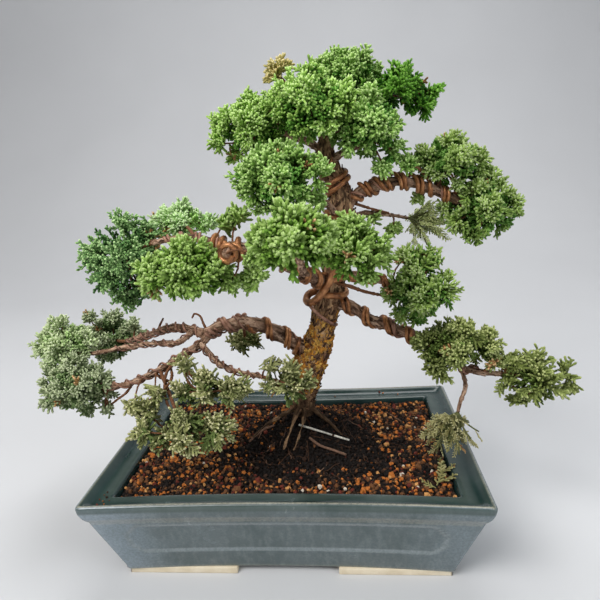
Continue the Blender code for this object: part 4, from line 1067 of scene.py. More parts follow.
def shape_pot(pot):
    """Presses the panels in, bows the long sides, and marks where the glaze runs thin or pools and where a
    painted sheen lies.
    """
    mesh = pot.data
    pool, edge, painted_sheen = [], [], []
    for vert in mesh.vertices:
        place = (vert.co - POT_PLACE) / MM
        insets = [half - abs(part) for half, part in zip(RIM_HALF, place)]
        inset = min(insets)
        thin = line = 0.0
        outside = abs(inset - wall_inset(place.z)) < 0.6 and BASE_HEIGHT + 1 < place.z < LIP_UNDERSIDE - 1
        if outside:
            side = insets.index(inset)
            inside = within_panel(place[1 - side], place.z, RIM_HALF[1 - side])
            step = min(max(inside / PANEL_STEP, 0.0), 1.0)
            vert.co[side] -= math.copysign(PANEL_DEPTH * step * step * (3 - 2 * step), place[side]) * MM
            line = max(0.0, 1 - abs(inside - 0.5 * PANEL_STEP) / LINE_WIDTH)
            thin = THIN_ON_LINE * line
        if inset < 5.6 and abs(place.z - LIP_UNDERSIDE - 1.0) < 2.2:
            thin = THIN_ON_LINE
        if 1.2 < inset < 2.8 and 64.7 < place.z:
            thin = THIN_ON_RIM[0 if insets[1] < insets[0] else 1]
        if place.z < BASE_HEIGHT + 1.2:
            thin = THIN_AT_BASE
        half_x = RIM_HALF[0] - inset
        bow = SIDE_BOW * (1 - min(1.0, abs(place.x) / half_x) ** 2) * abs(place.y) / (RIM_HALF[1] - inset)
        vert.co.y -= math.copysign(bow, place.y) * MM
        rim = 0.0
        if inset > 1.9 and place.z > 56:
            rim = POOL_IN_DISH[0] + POOL_IN_DISH[1] * max(0.0, 1 - abs(inset - DISH_INSET) / DISH_REACH)
        if inset > 17.5 and place.z > 20:
            rim = 1.0
        if inset < 1.3 and 59.8 < place.z < 64.6:
            rim = POOL_ON_SIDE
        edge.append(thin)
        pool.append(rim)
        # painted sheen: stronger towards the pot's ends where the window's reflection lies, full on the left
        # and weaker on the right, and along the panels' lines
        ends = (abs(place.x) - SHEEN_FROM) / SHEEN_FADE
        ends += 0.25 * noise.noise(Vector((place.x, place.y, place.z)) / SHEEN_PATCH)
        painted_sheen.append(max(min(max(ends, 0.0), 1.0) * (1.0 if place.x < 0 else SHEEN_RIGHT), 0.9 * line))
    for name, values in (("pool", pool), ("edge", edge), ("painted_sheen", painted_sheen)):
        layer = mesh.attributes.new(name, "FLOAT", "POINT")
        layer.data.foreach_set("value", values)


def round_foot(foot):
    """Rounds the upright edges of a foot in plan, and then softens all its edges."""
    bpy.ops.object.mode_set(mode="EDIT")
    select_edges(foot, lambda edge: abs(edge.verts[0].co.z - edge.verts[1].co.z) > 3 * MM)
    bpy.ops.mesh.bevel(offset=FOOT_CORNER * MM, segments=5)
    bpy.ops.object.mode_set(mode="OBJECT")
    soften = foot.modifiers.new("soften", "BEVEL")
    soften.width = 0.6 * MM
    soften.segments = 3
    apply_modifiers(foot)


def make_feet(clay):
    """Four angled feet: each two bars joined to an L, with rounded ends."""
    half_x = RIM_HALF[0] - WALL_INSET_LOW - FOOT_SETBACK
    half_y = RIM_HALF[1] - WALL_INSET_LOW - FOOT_SETBACK
    feet = []
    for sign_x in (-1, 1):
        for sign_y in (-1, 1):
            bars = []
            for run_x, run_y in ((FOOT_LONG, FOOT_WIDTH), (FOOT_WIDTH, FOOT_SHORT)):
                middle = (sign_x * (half_x - run_x / 2), sign_y * (half_y - run_y / 2), BASE_HEIGHT / 2 + 0.1)
                bars.append(sized_piece(bpy.ops.mesh.primitive_cube_add, "pot_feet", middle,
                                        (run_x, run_y, BASE_HEIGHT + 0.2)))
            first, second = bars
            union = first.modifiers.new("union", "BOOLEAN")
            union.operation = "UNION"
            union.object = second
            apply_modifiers(first)
            bpy.data.objects.remove(second, do_unlink=True)
            round_foot(first)
            feet.append(first)
    joined = join_pieces(feet)
    dress(joined, clay, 40)
    stands_for(joined, "glaze")


# Soil

def ground(x, y):
    """Height of the soil: a rounded mound at the trunk's foot, with small heaps all over."""
    away = np.hypot((x - TRUNK_FOOT[0]) / MOUND_REACH[0], (y - TRUNK_FOOT[1]) / MOUND_REACH[1])
    swell = np.cos(np.pi / 2 * np.minimum(1.0, away)) ** 2
    drift = LUMP_DRIFT * np.sin((x + y) / (2 * LUMP_PITCH))
    heap = np.cos(np.pi * (x / LUMP_PITCH + drift)) * np.cos(np.pi * (y / LUMP_PITCH - drift))
    return SOIL_LEVEL + MOUND_HEIGHT * swell + LUMP_HEIGHT / 2 * heap


def make_soil(earth):
    """The bed under the loose grains: a grid inside the rim, raised to the mound and roughened."""
    half_x, half_y = (half - SOIL_INSET for half in RIM_HALF)
    bed = sized_piece(bpy.ops.mesh.primitive_grid_add, "soil_bed", (0, 0, 0), (2 * half_x, 2 * half_y, 1.0),
                      x_subdivisions=150, y_subdivisions=100)
    for vert in bed.data.vertices:
        x, y = (vert.co.x - POT_PLACE.x) / MM, (vert.co.y - POT_PLACE.y) / MM
        bow = SIDE_BOW * (1 - (x / half_x) ** 2) * abs(y) / half_y
        vert.co.y -= math.copysign(bow, y) * MM
        rough = noise.fractal(Vector((x, y, 0)) / 9.0, 1.0, 2.0, 4) * 1.3
        vert.co.z = (float(ground(x, y)) - 2.0 + 0.6 * rough) * MM
    bpy.ops.object.mode_set(mode="EDIT")
    bpy.ops.mesh.select_all(action="SELECT")
    bpy.ops.mesh.extrude_region_move(TRANSFORM_OT_translate={"value": (0, 0, -20 * MM)})
    bpy.ops.mesh.select_all(action="SELECT")
    bpy.ops.mesh.normals_make_consistent(inside=False)
    bpy.ops.object.mode_set(mode="OBJECT")
    dress(bed, earth, 60)
    stands_for(bed, "soil", "soil")


def grain_shapes(kinds, rng):
    """Broken pebbles: low balls of a few faces, pulled out of round."""
    shapes = []
    for kind in range(kinds):
        deselect_all()
        bpy.ops.mesh.primitive_ico_sphere_add(subdivisions=1, radius=1.0)
        pebble = bpy.context.active_object
        bpy.ops.object.mode_set(mode="EDIT")
        bpy.ops.transform.vertex_random(offset=0.28, seed=kind + 1)
        bpy.ops.mesh.normals_make_consistent(inside=False)
        bpy.ops.object.mode_set(mode="OBJECT")
        scale = np.array([rng.uniform(0.9, 1.35), rng.uniform(0.75, 1.0), rng.uniform(0.65, 0.95)])
        verts = np.array([tuple(vert.co) for vert in pebble.data.vertices]) * scale
        faces = [tuple(face.vertices) for face in pebble.data.polygons]
        shapes.append(shape_of([(verts, faces, [0] * len(faces))]))
        bpy.data.objects.remove(pebble, do_unlink=True)
    return shapes


def random_frames(number, rng):
    """Turned frames, evenly random."""
    quaternions = rng.normal(size=(number, 4))
    quaternions /= np.linalg.norm(quaternions, axis=1)[:, None]
    w, x, y, z = quaternions.T
    rows = [[1 - 2 * (y * y + z * z), 2 * (x * y - z * w), 2 * (x * z + y * w)],
            [2 * (x * y + z * w), 1 - 2 * (x * x + z * z), 2 * (y * z - x * w)],
            [2 * (x * z - y * w), 2 * (y * z + x * w), 1 - 2 * (x * x + y * y)]]
    return np.moveaxis(np.array(rows), 2, 0)


def within_rim(x, y, room):
    """Which places lie inside the bowed rim."""
    half_x, half_y = (half - SOIL_INSET - room for half in RIM_HALF)
    bow = SIDE_BOW * (1 - np.minimum(1.0, np.abs(x / half_x)) ** 2)
    return (np.abs(x) < half_x) & (np.abs(y) < half_y - bow)


def moistness(x, y, rng):
    """How moist and black the soil is: a ragged patch round the trunk's foot."""
    away = np.hypot((x - MOIST_CENTRE[0]) / MOIST_REACH[0], (y - MOIST_CENTRE[1]) / MOIST_REACH[1])
    ragged = np.array([noise.noise(Vector((a, b, 5)) / 13) for a, b in zip(x, y)])
    return away + 0.5 * ragged < 0.80 + 0.55 * rng.uniform(size=x.size) ** 2.5


def make_grains(materials):
    """Layers of broken grains over the bed, black and fine round the trunk where the soil is moist."""
    rng = np.random.default_rng(SEED)
    shapes = grain_shapes(7, random.Random(SEED))
    half_x, half_y = (half - SOIL_INSET for half in RIM_HALF)
    for name, pitch, drop, low, high in GRAIN_LAYERS:
        columns, rows = np.meshgrid(np.arange(-half_x, half_x, pitch), np.arange(-half_y, half_y, pitch))
        x = columns.ravel() + rng.uniform(-0.5, 0.5, columns.size) * pitch
        y = rows.ravel() + rng.uniform(-0.5, 0.5, columns.size) * pitch
        keep = within_rim(x, y, 0.8)
        x, y = x[keep], y[keep]
        size = low + (high - low) * rng.uniform(size=x.size) ** 1.4
        size *= np.where(rng.uniform(size=x.size) < BIG_GRAINS, rng.uniform(*BIG_GRAIN_SIZE, x.size), 1.0)
        moist = moistness(x, y, rng)
        size = np.where(moist, size * MOIST_GRAIN_SIZE, size)
        # painted shade: the layers under and among the top grains are mostly black, so that the gaps read
        # dark
        shares = GRAIN_SHARES if name == "soil_grains_top" else SHADED_GAP_SHARES
        drift = np.array([noise.noise(Vector((a, b, 41)) / 9) for a, b in zip(x, y)])
        draw = rng.uniform(size=x.size) ** np.exp(-COLOUR_DRIFT * drift)
        colours = np.where(moist, rng.choice(len(GRAIN_COLOURS), x.size, p=MOIST_SHARES),
                           np.digitize(draw, np.cumsum(shares)[:-1]))
        places = np.stack([x, y, ground(x, y) - drop + rng.uniform(-0.45, 0.45, x.size)], 1)
        frames = random_frames(x.size, rng)
        kinds = rng.integers(0, len(shapes), x.size)
        batch = Batch()
        for kind, shape in enumerate(shapes):
            rows = kinds == kind
            batch.add_copies(shape, places[rows], frames[rows], size[rows], colours[rows])
        if name == "soil_grains_fine":
            add_crumbs(batch, shapes, rng)
        print(name, batch.triangles())
        stands_for(batch.make(name, materials, smooth=False), "soil")


def add_crumbs(batch, shapes, rng):
    """White stones on the soil, and a few crumbs that lie on the pot's rim."""
    for x, y, size in WHITE_STONES:
        place = np.array([[x, y, float(ground(x, y)) + 0.4]])
        batch.add_copies(shapes[1], place, random_frames(1, rng), np.array([size]),
                         np.array([len(GRAIN_COLOURS) - 1]))
    for x, y, size, colour in RIM_CRUMBS:
        place = np.array([[x, y, RIM_DISH + size * 0.6]])
        batch.add_copies(shapes[2], place, random_frames(1, rng), np.array([size]), np.array([colour]))


def make_litter(wood, pale_wood, leaf_set):
    """What lies on the soil: rootlets and dry bits, a peeled white stick, and a fallen sprig."""
    rng = random.Random(SEED + 5)
    batch = Batch()
    for index in range(LITTER_COUNT):
        x, y = rng.gauss(MOIST_CENTRE[0], 34), rng.gauss(MOIST_CENTRE[1] + 6, 26)
        if not within_rim(np.array([x]), np.array([y]), 4.0)[0]:
            continue
        turn, length = rng.uniform(0, math.tau), rng.uniform(5, 17)
        rows = []
        for step in range(6):
            t = step / 5 - 0.5
            across = 1.6 * noise.noise(Vector((t * 2.5, index * 3.1, 0)))
            px = x + math.cos(turn) * t * length - math.sin(turn) * across
            py = y + math.sin(turn) * t * length + math.cos(turn) * across
            rows.append(Vector((px, py, float(ground(px, py)) + rng.uniform(-0.3, 0.8))))
        radius = rng.uniform(0.18, 0.38)
        radii = [radius, radius, radius * 1.1, radius, radius, radius * 0.6]
        batch.add_round(rows, radii, 4, rng.choice((0, 0, 0, 0, 1)))
    for route, radius in ROOTLETS:
        rows = smooth_path([(x, y, float(ground(x, y)) + lift) for x, y, lift in route], 2.0)
        radii = [radius * (1 + 0.35 * noise.noise(Vector((index * 0.8, radius * 9, 2))))
                 for index in range(len(rows))]
        batch.add_round(rows, radii, 6, 1)
    stands_for(batch.make("soil_litter", wood), "bark")
    stick = Batch()
    for shares, radii, slot in STICK_PARTS:
        points = [Vector(STICK_START).lerp(Vector(STICK_END), t) for t in shares]
        stick.add_round(points, radii, 8, slot)
    stands_for(stick.make("peeled_stick", [pale_wood, wood[0]]), "bark")
    sprig = Batch()
    frond = shape_of(frond_parts(random.Random(SEED)))
    for x, y, turn, size, tone in FALLEN_SPRIG:
        forward = Vector((math.cos(math.radians(turn)), math.sin(math.radians(turn)), 0.12)).normalized()
        foot = np.array([[x, y, float(ground(x, y)) + 1.4]])
        sprig.add_copies(frond, foot, level_frame(forward, 0.15)[None], np.array([size]), np.array([tone]))
    stands_for(sprig.make("fallen_sprig", leaf_set), "foliage")


# Trunk, boughs and wires

def swept(name, points, radii, sides):
    """A round piece swept along points: a path curve with a radius at each point, made a mesh."""
    deselect_all()
    bpy.ops.curve.primitive_nurbs_path_add(location=(0, 0, 0))
    line = bpy.context.active_object
    line.name = name
    curve = line.data
    curve.splines.clear()
    spline = curve.splines.new("POLY")
    spline.points.add(len(points) - 1)
    for knot, point, radius in zip(spline.points, points, radii):
        knot.co = (*world(point), 1.0)
        knot.radius = radius
    curve.dimensions = "3D"
    curve.bevel_depth = MM
    curve.bevel_resolution = (sides - 4) // 2
    curve.use_fill_caps = True
    bpy.ops.object.convert(target="MESH")
    item = bpy.context.active_object
    tidy_mesh(item)
    return item


def add_layer(mesh, name, kind, values):
    layer = mesh.attributes.new(name, kind, "POINT")
    field = "vector" if kind == "FLOAT_VECTOR" else "value"
    layer.data.foreach_set(field, np.asarray(values, np.float32).ravel())


def carve_bark(item, paths, depth, offset):
    """Raises plates, fibres and lumps along the limb, and keeps where each point lies on it."""
    mesh = item.data
    count = len(mesh.vertices)
    places = (read_vectors(mesh.vertices, "co") - np.array(POT_PLACE)) / MM
    normals = read_vectors(mesh.vertices, "normal")
    gap = np.full(count, 1e9)
    grain = np.zeros((count, 3))
    along_limb = np.zeros((count, 3))
    for number, path in enumerate(paths):
        near, index, share, away = path.nearest(places)
        closer = near < gap
        axes, sides = np.array(path.axes)[index], np.array(path.sides)[index]
        others = np.cross(axes, sides)
        angle = np.arctan2((away * others).sum(1), (away * sides).sum(1))
        radius = path.girth[index]
        spans = np.diff(path.line, axis=0)[index]
        along = np.array(path.lengths)[index] + share * np.linalg.norm(spans, axis=1)
        rolled = np.stack([radius * np.cos(angle), radius * np.sin(angle), along + 97.0 * number + offset], 1)
        grain[closer] = rolled[closer]
        along_limb[closer] = axes[closer]
        gap = np.where(closer, near, gap)
    relief = np.zeros(count)
    lift = np.zeros(count)
    for row in range(count):
        x, y, z = grain[row]
        lengthwise = Vector((x, y, z * BARK_STRETCH))
        plate = noise.ridged_multi_fractal(lengthwise / PLATE_SIZE, 0.9, 2.1, 4, 0.9, 2.0) - 1.0
        fibre = noise.fractal(Vector((x, y, z * 0.14)) / FIBRE_SIZE, 0.8, 2.2, 3)
        lump = noise.noise(Vector((x, y, z * 0.7)) / LUMP_SIZE + Vector((31, 7, 3)))
        relief[row] = 0.5 + 0.34 * plate + 0.28 * fibre
        lift[row] = 0.45 * plate + 0.32 * fibre + 0.9 * lump
    places += normals * (lift * depth)[:, None]
    mesh.vertices.foreach_set("co", (places * MM + np.array(POT_PLACE)).astype(np.float32).ravel())
    add_layer(mesh, "grain", "FLOAT_VECTOR", grain * MM)
    add_layer(mesh, "relief", "FLOAT", np.clip(relief, 0, 1))
    mesh.update()
    return places, along_limb


def flake_shapes(kinds, rng):
    """Curled scales of bark: thin closed leaves that lift at one end."""
    shapes = []
    for _ in range(kinds):
        length, width = rng.uniform(2.4, 4.6), rng.uniform(0.45, 0.85)
        curl = rng.uniform(0.2, 1.3)
        verts = []
        for t, broad in ((0.0, 0.6), (0.45, 1.0), (1.0, rng.uniform(0.3, 0.7))):
            lift = 0.25 + curl * t * t
            half = width * broad
            verts += [(half, lift, length * (t - 0.4)), (-half, lift + 0.1, length * (t - 0.4)),
                      (-half, lift - 0.35, length * (t - 0.4)), (half, lift - 0.45, length * (t - 0.4))]
        shapes.append(shape_of([(verts, ring_faces(3, 4), [0] * 10)]))
    return shapes


def lay_flakes(batch, shapes, item, places, axes, chances, turn, sizes, tones, rng):
    """Lays loose scales on a share of a surface's points, more or less along the limb."""
    chosen = np.flatnonzero(rng.uniform(size=len(places)) < chances)
    normals = read_vectors(item.data.vertices, "normal")[chosen]
    turn = np.broadcast_to(turn, len(places))[chosen, None]
    forward = axes[chosen] + rng.normal(size=(len(chosen), 3)) * turn
    forward -= normals * (forward * normals).sum(1)[:, None]
    forward /= np.maximum(np.linalg.norm(forward, axis=1), 1e-6)[:, None]
    frames = np.stack([np.cross(normals, forward), normals, forward], 2)
    scales = rng.uniform(*sizes, len(chosen))
    kinds = rng.integers(0, len(shapes), len(chosen))
    for kind, shape in enumerate(shapes):
        rows = kinds == kind
        batch.add_copies(shape, places[chosen][rows], frames[rows], scales[rows], tones(chosen[rows]))


def make_trunk(paths, bark, flakes, scales, rng):
    """Trunk and surface roots swept, joined by one remesh, cut flat in the soil and carved as bark."""
    trunk = swept("trunk_bark", paths["trunk"].points, paths["trunk"].radii, TRUNK_SIDES)
    roots = [Path(smooth_path(route, RING_SPACING * 1.5)) for route in ROOT_ROUTES]
    parts = [trunk]
    for number, root in enumerate(roots):
        radii = []
        for radius, length in zip(root.radii, root.lengths):
            knot = 0.3 * noise.noise(Vector((length / 6, 5.3 * number, 1)))
            radii.append(radius * ROOT_THINNING * (1 + knot))
        parts.append(swept("root", root.points, radii, 16))
    join_pieces(parts)
    remesh = trunk.modifiers.new("one skin", "REMESH")
    remesh.mode = "VOXEL"
    remesh.voxel_size = TRUNK_VOXEL * MM
    soften = trunk.modifiers.new("soften", "SMOOTH")
    soften.factor = 0.5
    soften.iterations = 4
    apply_modifiers(trunk)
    bpy.ops.object.mode_set(mode="EDIT")
    bpy.ops.mesh.select_all(action="SELECT")
    bpy.ops.mesh.bisect(plane_co=world((0, 0, GROUND_CUT)), plane_no=(0, 0, 1), use_fill=True,
                        clear_inner=True)
    bpy.ops.object.mode_set(mode="OBJECT")
    places, axes = carve_bark(trunk, [paths["trunk"]] + roots, 1.0, 0.0)
    burl = np.exp(-((places[:, 2] - BURL_HEIGHT) / BURL_REACH) ** 4)
    add_layer(trunk.data, "burl", "FLOAT", burl)
    rooty = np.hypot(places[:, 0] - TRUNK_FOOT[0], places[:, 1] - TRUNK_FOOT[1]) > ROOTS_FROM
    # darker towards the soil, less so on the roots that run out to the front
    dark = np.where(rooty & (places[:, 1] < 0) & (abs(places[:, 0] + 2) < 12), 0.35, 1.25)
    add_layer(trunk.data, "low_darkening", "FLOAT", dark * np.clip((DARKENING_TOP - places[:, 2]) / DARKENING_FADE, 0, 1))
    patchy = np.array([noise.noise(Vector(place) / 6.5) for place in places])

    def tones(chosen):
        ochre = burl[chosen] * (patchy[chosen] > -0.02) > rng.uniform(0.1, 0.9, len(chosen))
        return np.where(ochre, rng.choice(3, len(chosen), p=(0.45, 0.35, 0.2)),
                        rng.choice((3, 4), len(chosen)))

    above = places[:, 2] > SCALES_FROM
    chances = above * (0.03 + 0.15 * burl * (0.2 + (patchy > -0.1)))
    lay_flakes(flakes, scales, trunk, places, axes, chances, 0.25 + 0.9 * burl, (0.6, 1.5), tones, rng)
    dress(trunk, bark)
    stands_for(trunk, "bark", "trunk")


def make_boughs(paths, bark, flakes, scales, rng):
    """Every bough, arm and twig: swept from inside its carrier, a little knotty, carved as bark."""
    for number, (name, limb) in enumerate(LIMBS.items()):
        path = paths[name]
        total = path.lengths[-1]
        radii = []
        for radius, length in zip(path.radii, path.lengths):
            foot = math.exp(-length / (2.2 * limb.thick))
            tip = min(1.0, (total - length) / 2.0 + 0.45)
            knot = 0.22 * noise.noise(Vector((length / (1.6 * limb.thick), 7.7 * number, 3)))
            radii.append(radius * (1 + FOOT_FLARE * foot + knot) * tip)
        bough = swept(name + "_bark", path.points, radii, LIMB_SIDES)
        depth = min(0.95, limb.thick / FULL_RELIEF_RADIUS)
        places, axes = carve_bark(bough, [path], depth, 300.0 * number + 150)
        lay_flakes(flakes, scales, bough, places, axes, 0.055, 0.3, (0.35, 0.7),
                   lambda chosen: rng.choice((3, 4, 5, 5), len(chosen)), rng)
        dress(bough, bark)
        stands_for(bough, "bark", name)


def winding(wire, path, strand):
    """The points of one strand of a wire wound round a limb, just clear of its bark."""
    steps = round(wire.turns * WIRE_STEPS)
    shift = strand * wire.gap / path.lengths[-1]
    side = path.at(wire.first)[2].orthogonal().normalized()
    points = []
    for step in range(steps + 1):
        t = step / steps
        share = min(wire.first + (wire.last - wire.first) * t + shift, 1.0)
        centre, radius, direction = path.at(share)
        side = (side - direction * side.dot(direction)).normalized()
        other = direction.cross(side)
        wander = noise.noise(Vector((t * wire.turns * 1.7, 9.1 * wire.first, strand)))
        angle = math.radians(wire.turn_from) + t * wire.turns * math.tau + 0.9 * wander
        away = radius + wire.radius * (1.0 + 0.12 * wander) + 0.1
        points.append(centre + turned(side, other, angle) * away)
    return points


def make_wires(paths, finishes):
    """The wound wires, single or with strands side by side, with cut ends slightly rounded."""
    for name, wire in {**WIRES, **EXTRA_WIRES}.items():
        strands = []
        for strand in range(wire.strands):
            points = winding(wire, paths[wire.limb], strand)
            radii = [wire.radius] * len(points)
            radii[0] = radii[-1] = wire.radius * 0.8
            strands.append(swept(name + "_wound", points, radii, WIRE_SIDES))
        dress(join_pieces(strands), finishes[wire.finish], 45)
        stands_for(strands[0], "training_wire", *([name] if name in WIRES else []))
    for name, (route, radius, finish) in FORK_WIRES.items():
        rows = smooth_path([(*point, radius) for point in route], 1.5)
        loop = swept(name + "_wound", [row.to_3d() for row in rows], [row[3] for row in rows], WIRE_SIDES)
        dress(loop, finishes[finish], 45)
        stands_for(loop, "training_wire")


def add_bare_twigs(twigs):
    """Dry and leafless twigs, knotty along their length."""
    for number, (route, first, last) in enumerate(BARE_TWIGS):
        way = [(*point, first + (last - first) * index / (len(route) - 1))
               for index, point in enumerate(route)]
        rows = smooth_path(way, 1.3)
        radii = [row[3] * (1 + 0.45 * noise.noise(Vector((index * 0.9, 4.7 * number, 2))))
                 for index, row in enumerate(rows)]
        twigs.add_round([row.to_3d() for row in rows], radii, 7)


# Foliage

def cord(base, forward, length, radius):
    """One scale-leaf cord: a thin rod, widest near its blunt end, whose end is of the tip's tone."""
    side = forward.orthogonal().normalized()
    other = forward.cross(side)
    verts = []
    for reach, width in ((0.0, 0.8), (CORD_SHOULDER, 1.0)):
        for step in range(CORD_SIDES):
            ring = turned(side, other, math.tau * step / CORD_SIDES) * radius * width
            verts.append(base + forward * length * reach + ring)
    verts.append(base + forward * length)
    faces = [tuple(reversed(range(CORD_SIDES)))]
    for step in range(CORD_SIDES):
        following = (step + 1) % CORD_SIDES
        faces.append((step, following, CORD_SIDES + following, CORD_SIDES + step))
    for step in range(CORD_SIDES):
        faces.append((CORD_SIDES + step, CORD_SIDES + (step + 1) % CORD_SIDES, 2 * CORD_SIDES))
    return verts, faces, [0] * (1 + CORD_SIDES) + [1] * CORD_SIDES


def from_polar(spread, turn):
    """A direction that leaves the forward axis by a spread, at a turn round it, both in degrees."""
    spread, turn = math.radians(spread), math.radians(turn)
    return Vector((math.cos(turn) * math.sin(spread), math.sin(turn) * math.sin(spread), math.cos(spread)))


def shoot_parts(kind, rng):
    """An upright shoot with fingers all round it: an open tuft or a slim plume."""
    lead = rng.uniform(*kind.lead)
    upright = from_polar(rng.uniform(0, kind.tilt), rng.uniform(0, 360))
    parts = [cord(Vector((0, 0, -0.8)), upright, lead, CORD_RADIUS)]
    for step in range(6):
        height = kind.first + kind.rise * step + rng.uniform(-kind.drift, kind.drift)
        direction = from_polar(rng.uniform(*kind.spread) - kind.narrowing * step,
                               SPIRAL * step + rng.uniform(-kind.swing, kind.swing))
        length = (kind.reach - kind.shrink * step) * rng.uniform(*kind.lengths)
        parts.append(cord(Vector((0, 0, height)), direction, length, CORD_RADIUS * rng.uniform(0.85, 1.0)))
    return parts


def finger_parts(rng):
    """An open flattish spray: a thin stem whose blunt fingers fork off to both sides near its end."""
    length = rng.uniform(11.0, 15.0)
    droop = rng.uniform(0.3, 1.8)
    stem = [Vector((0, -droop * t * t, length * t)) for t in (0.0, 0.5, 1.0)]
    parts = [round_piece(stem, (0.5, 0.66, 0.74), 3)]
    for step in range(7):
        t = 0.34 + 0.105 * step
        turn = rng.uniform(-38, 38) + (0 if step % 2 else 180)
        reach = rng.uniform(4.0, 7.0) * (1.2 - 0.45 * t)
        foot = Vector((0, -droop * t * t, length * t))
        parts.append(cord(foot, from_polar(rng.uniform(26, 54), turn), reach, CORD_RADIUS * 0.98))
    return parts


def frond_parts(rng):
    """A thin drooping spray of lace: a bent stem with slender fingers to both sides."""
    length = rng.uniform(13.0, 17.0)
    droop = rng.uniform(2.0, 4.0)
    stem = [Vector((0, -droop * t * t, length * t)) for t in (0.0, 0.35, 0.7, 1.0)]
    parts = [round_piece(stem, (0.5, 0.55, 0.5, 0.4), 3)]
    for step in range(8):
        t = 0.16 + 0.105 * step
        foot = Vector((0, -droop * t * t, length * t))
        turn = rng.uniform(-20, 20) + (0 if step % 2 else 180)
        reach = (6.4 - 0.4 * step) * rng.uniform(0.75, 1.15)
        parts.append(cord(foot, from_polar(rng.uniform(34, 56), turn), reach, CORD_RADIUS * 0.8))
    return parts


def strand_parts(rng):
    """A long curved strand with short fingers crowded towards its end."""
    length = rng.uniform(14.0, 18.0)
    sweep = rng.uniform(1.5, 3.5)
    stem = [Vector((0, sweep * t * t, length * t)) for t in (0.0, 0.4, 0.75, 1.0)]
    parts = [round_piece(stem, (0.6, 0.72, 0.72, 0.5), 3)]
    for step in range(8):
        t = 0.32 + 0.088 * step
        foot = Vector((0, sweep * t * t, length * t))
        direction = from_polar(rng.uniform(24, 44), SPIRAL * step + rng.uniform(-25, 25))
        parts.append(cord(foot, direction, rng.uniform(3.0, 4.6) * (1.1 - 0.3 * t), CORD_RADIUS * 0.95))
    return parts


def sprig_shapes():
    """Several shapes of each family of sprig, with its length along the forward axis."""
    tuft_parts, plume_parts = partial(shoot_parts, TUFT), partial(shoot_parts, PLUME)
    makers = {
        "tuft": (tuft_parts, plume_parts, tuft_parts, plume_parts, tuft_parts),
        "finger": (finger_parts,) * SPRIG_KINDS,
        "frond": (frond_parts,) * SPRIG_KINDS,
        "strand": (strand_parts, strand_parts, plume_parts, strand_parts, strand_parts),
    }
    families = {}
    for family, parts_of in makers.items():
        shapes = [shape_of(maker(random.Random(100 * SEED + kind))) for kind, maker in enumerate(parts_of)]
        families[family] = (shapes, float(np.mean([shape[0][:, 2].max() for shape in shapes])))
    return families


def reach_of(towards, half):
    """The reach towards a direction of a mass with these half sizes."""
    return Vector(part * length for part, length in zip(towards, half))


def even_directions(count, rng):
    """Directions up and to the four sides, then more spread over a sphere by the golden angle."""
    directions = [Vector(axis).normalized() for axis in MAIN_DIRECTIONS][:count]
    turn = rng.uniform(0, math.tau)
    rest = count - len(directions)
    for index in range(rest):
        z = HIGHEST_TURN - (HIGHEST_TURN - LOWEST_TURN) * (index + 0.5) / rest
        level = math.sqrt(1 - z * z)
        angle = turn + GOLDEN_TURN * index
        directions.append(Vector((math.cos(angle) * level, math.sin(angle) * level, z)))
    return directions


def scatter(rng, amount=1.0):
    return Vector(rng.uniform(-1, 1) for _ in range(3)) * amount


def depth_in(mass, places):
    """Distance of places from a mass's centre as a share of its half size that way."""
    return np.linalg.norm((places - np.array(mass.centre)) / np.array(mass.half), axis=1)


def in_own_space(mass, places, tufts):
    """Which places lie in a mass and not much deeper in another, or in one of its side tufts."""
    own = depth_in(mass, places)
    keep = own < TIPS_REACH
    for other in MASSES.values():
        if other.centre != mass.centre:
            keep &= own - 0.12 < depth_in(other, places)
    for centre, radius, _ in tufts:
        keep |= np.linalg.norm(places - np.array(centre), axis=1) < radius * 1.1
    for centre, radius in CUT_BACK:
        keep &= np.linalg.norm(places - np.array(centre), axis=1) > radius
    return keep


def clear_of(paths, places, room):
    """Which places are clear of every limb."""
    keep = np.ones(len(places), bool)
    for path in paths:
        low, high = path.line.min(0) - 12, path.line.max(0) + 12
        near = np.flatnonzero(((places > low) & (places < high)).all(1))
        if len(near):
            keep[near] &= path.nearest(places[near])[0] > room
    return keep


def frame_along(forward, roll):
    """Columns across, normal and forward of a sprig that points forward, rolled about it."""
    across = forward.orthogonal().normalized()
    first = turned(across, forward.cross(across), roll)
    return np.array([tuple(first), tuple(forward.cross(first)), tuple(forward)]).T


def level_frame(forward, roll):
    """The same for a flat spray, which lies level and droops, rolled only a little."""
    across = forward.cross(Vector((0, 0, 1)))
    if across.length < 0.2:
        return frame_along(forward, roll)
    across.normalize()
    first = turned(across, across.cross(forward), roll)
    return np.array([tuple(first), tuple(forward.cross(first)), tuple(forward)]).T


def add_stem(mass, paths, twigs):
    """The stem that carries a mass, from its limb to the mass's heart."""
    heart = Vector(mass.centre)
    start, radius, direction = paths[mass.carrier].at(mass.share)
    lead = direction if mass.share == 1.0 else Vector((0, 0, STEM_RISE))
    middle = start.lerp(heart, STEM_BEND) + lead * STEM_LEAD * (heart - start).length
    thick = min(STEM_RADIUS, 0.9 * radius)
    stem = smooth_path([(*start, thick), (*middle, 0.9 * thick), (*heart, 0.9)], 3.0)
    twigs.add_round([row.to_3d() for row in stem], [row[3] for row in stem], 7)


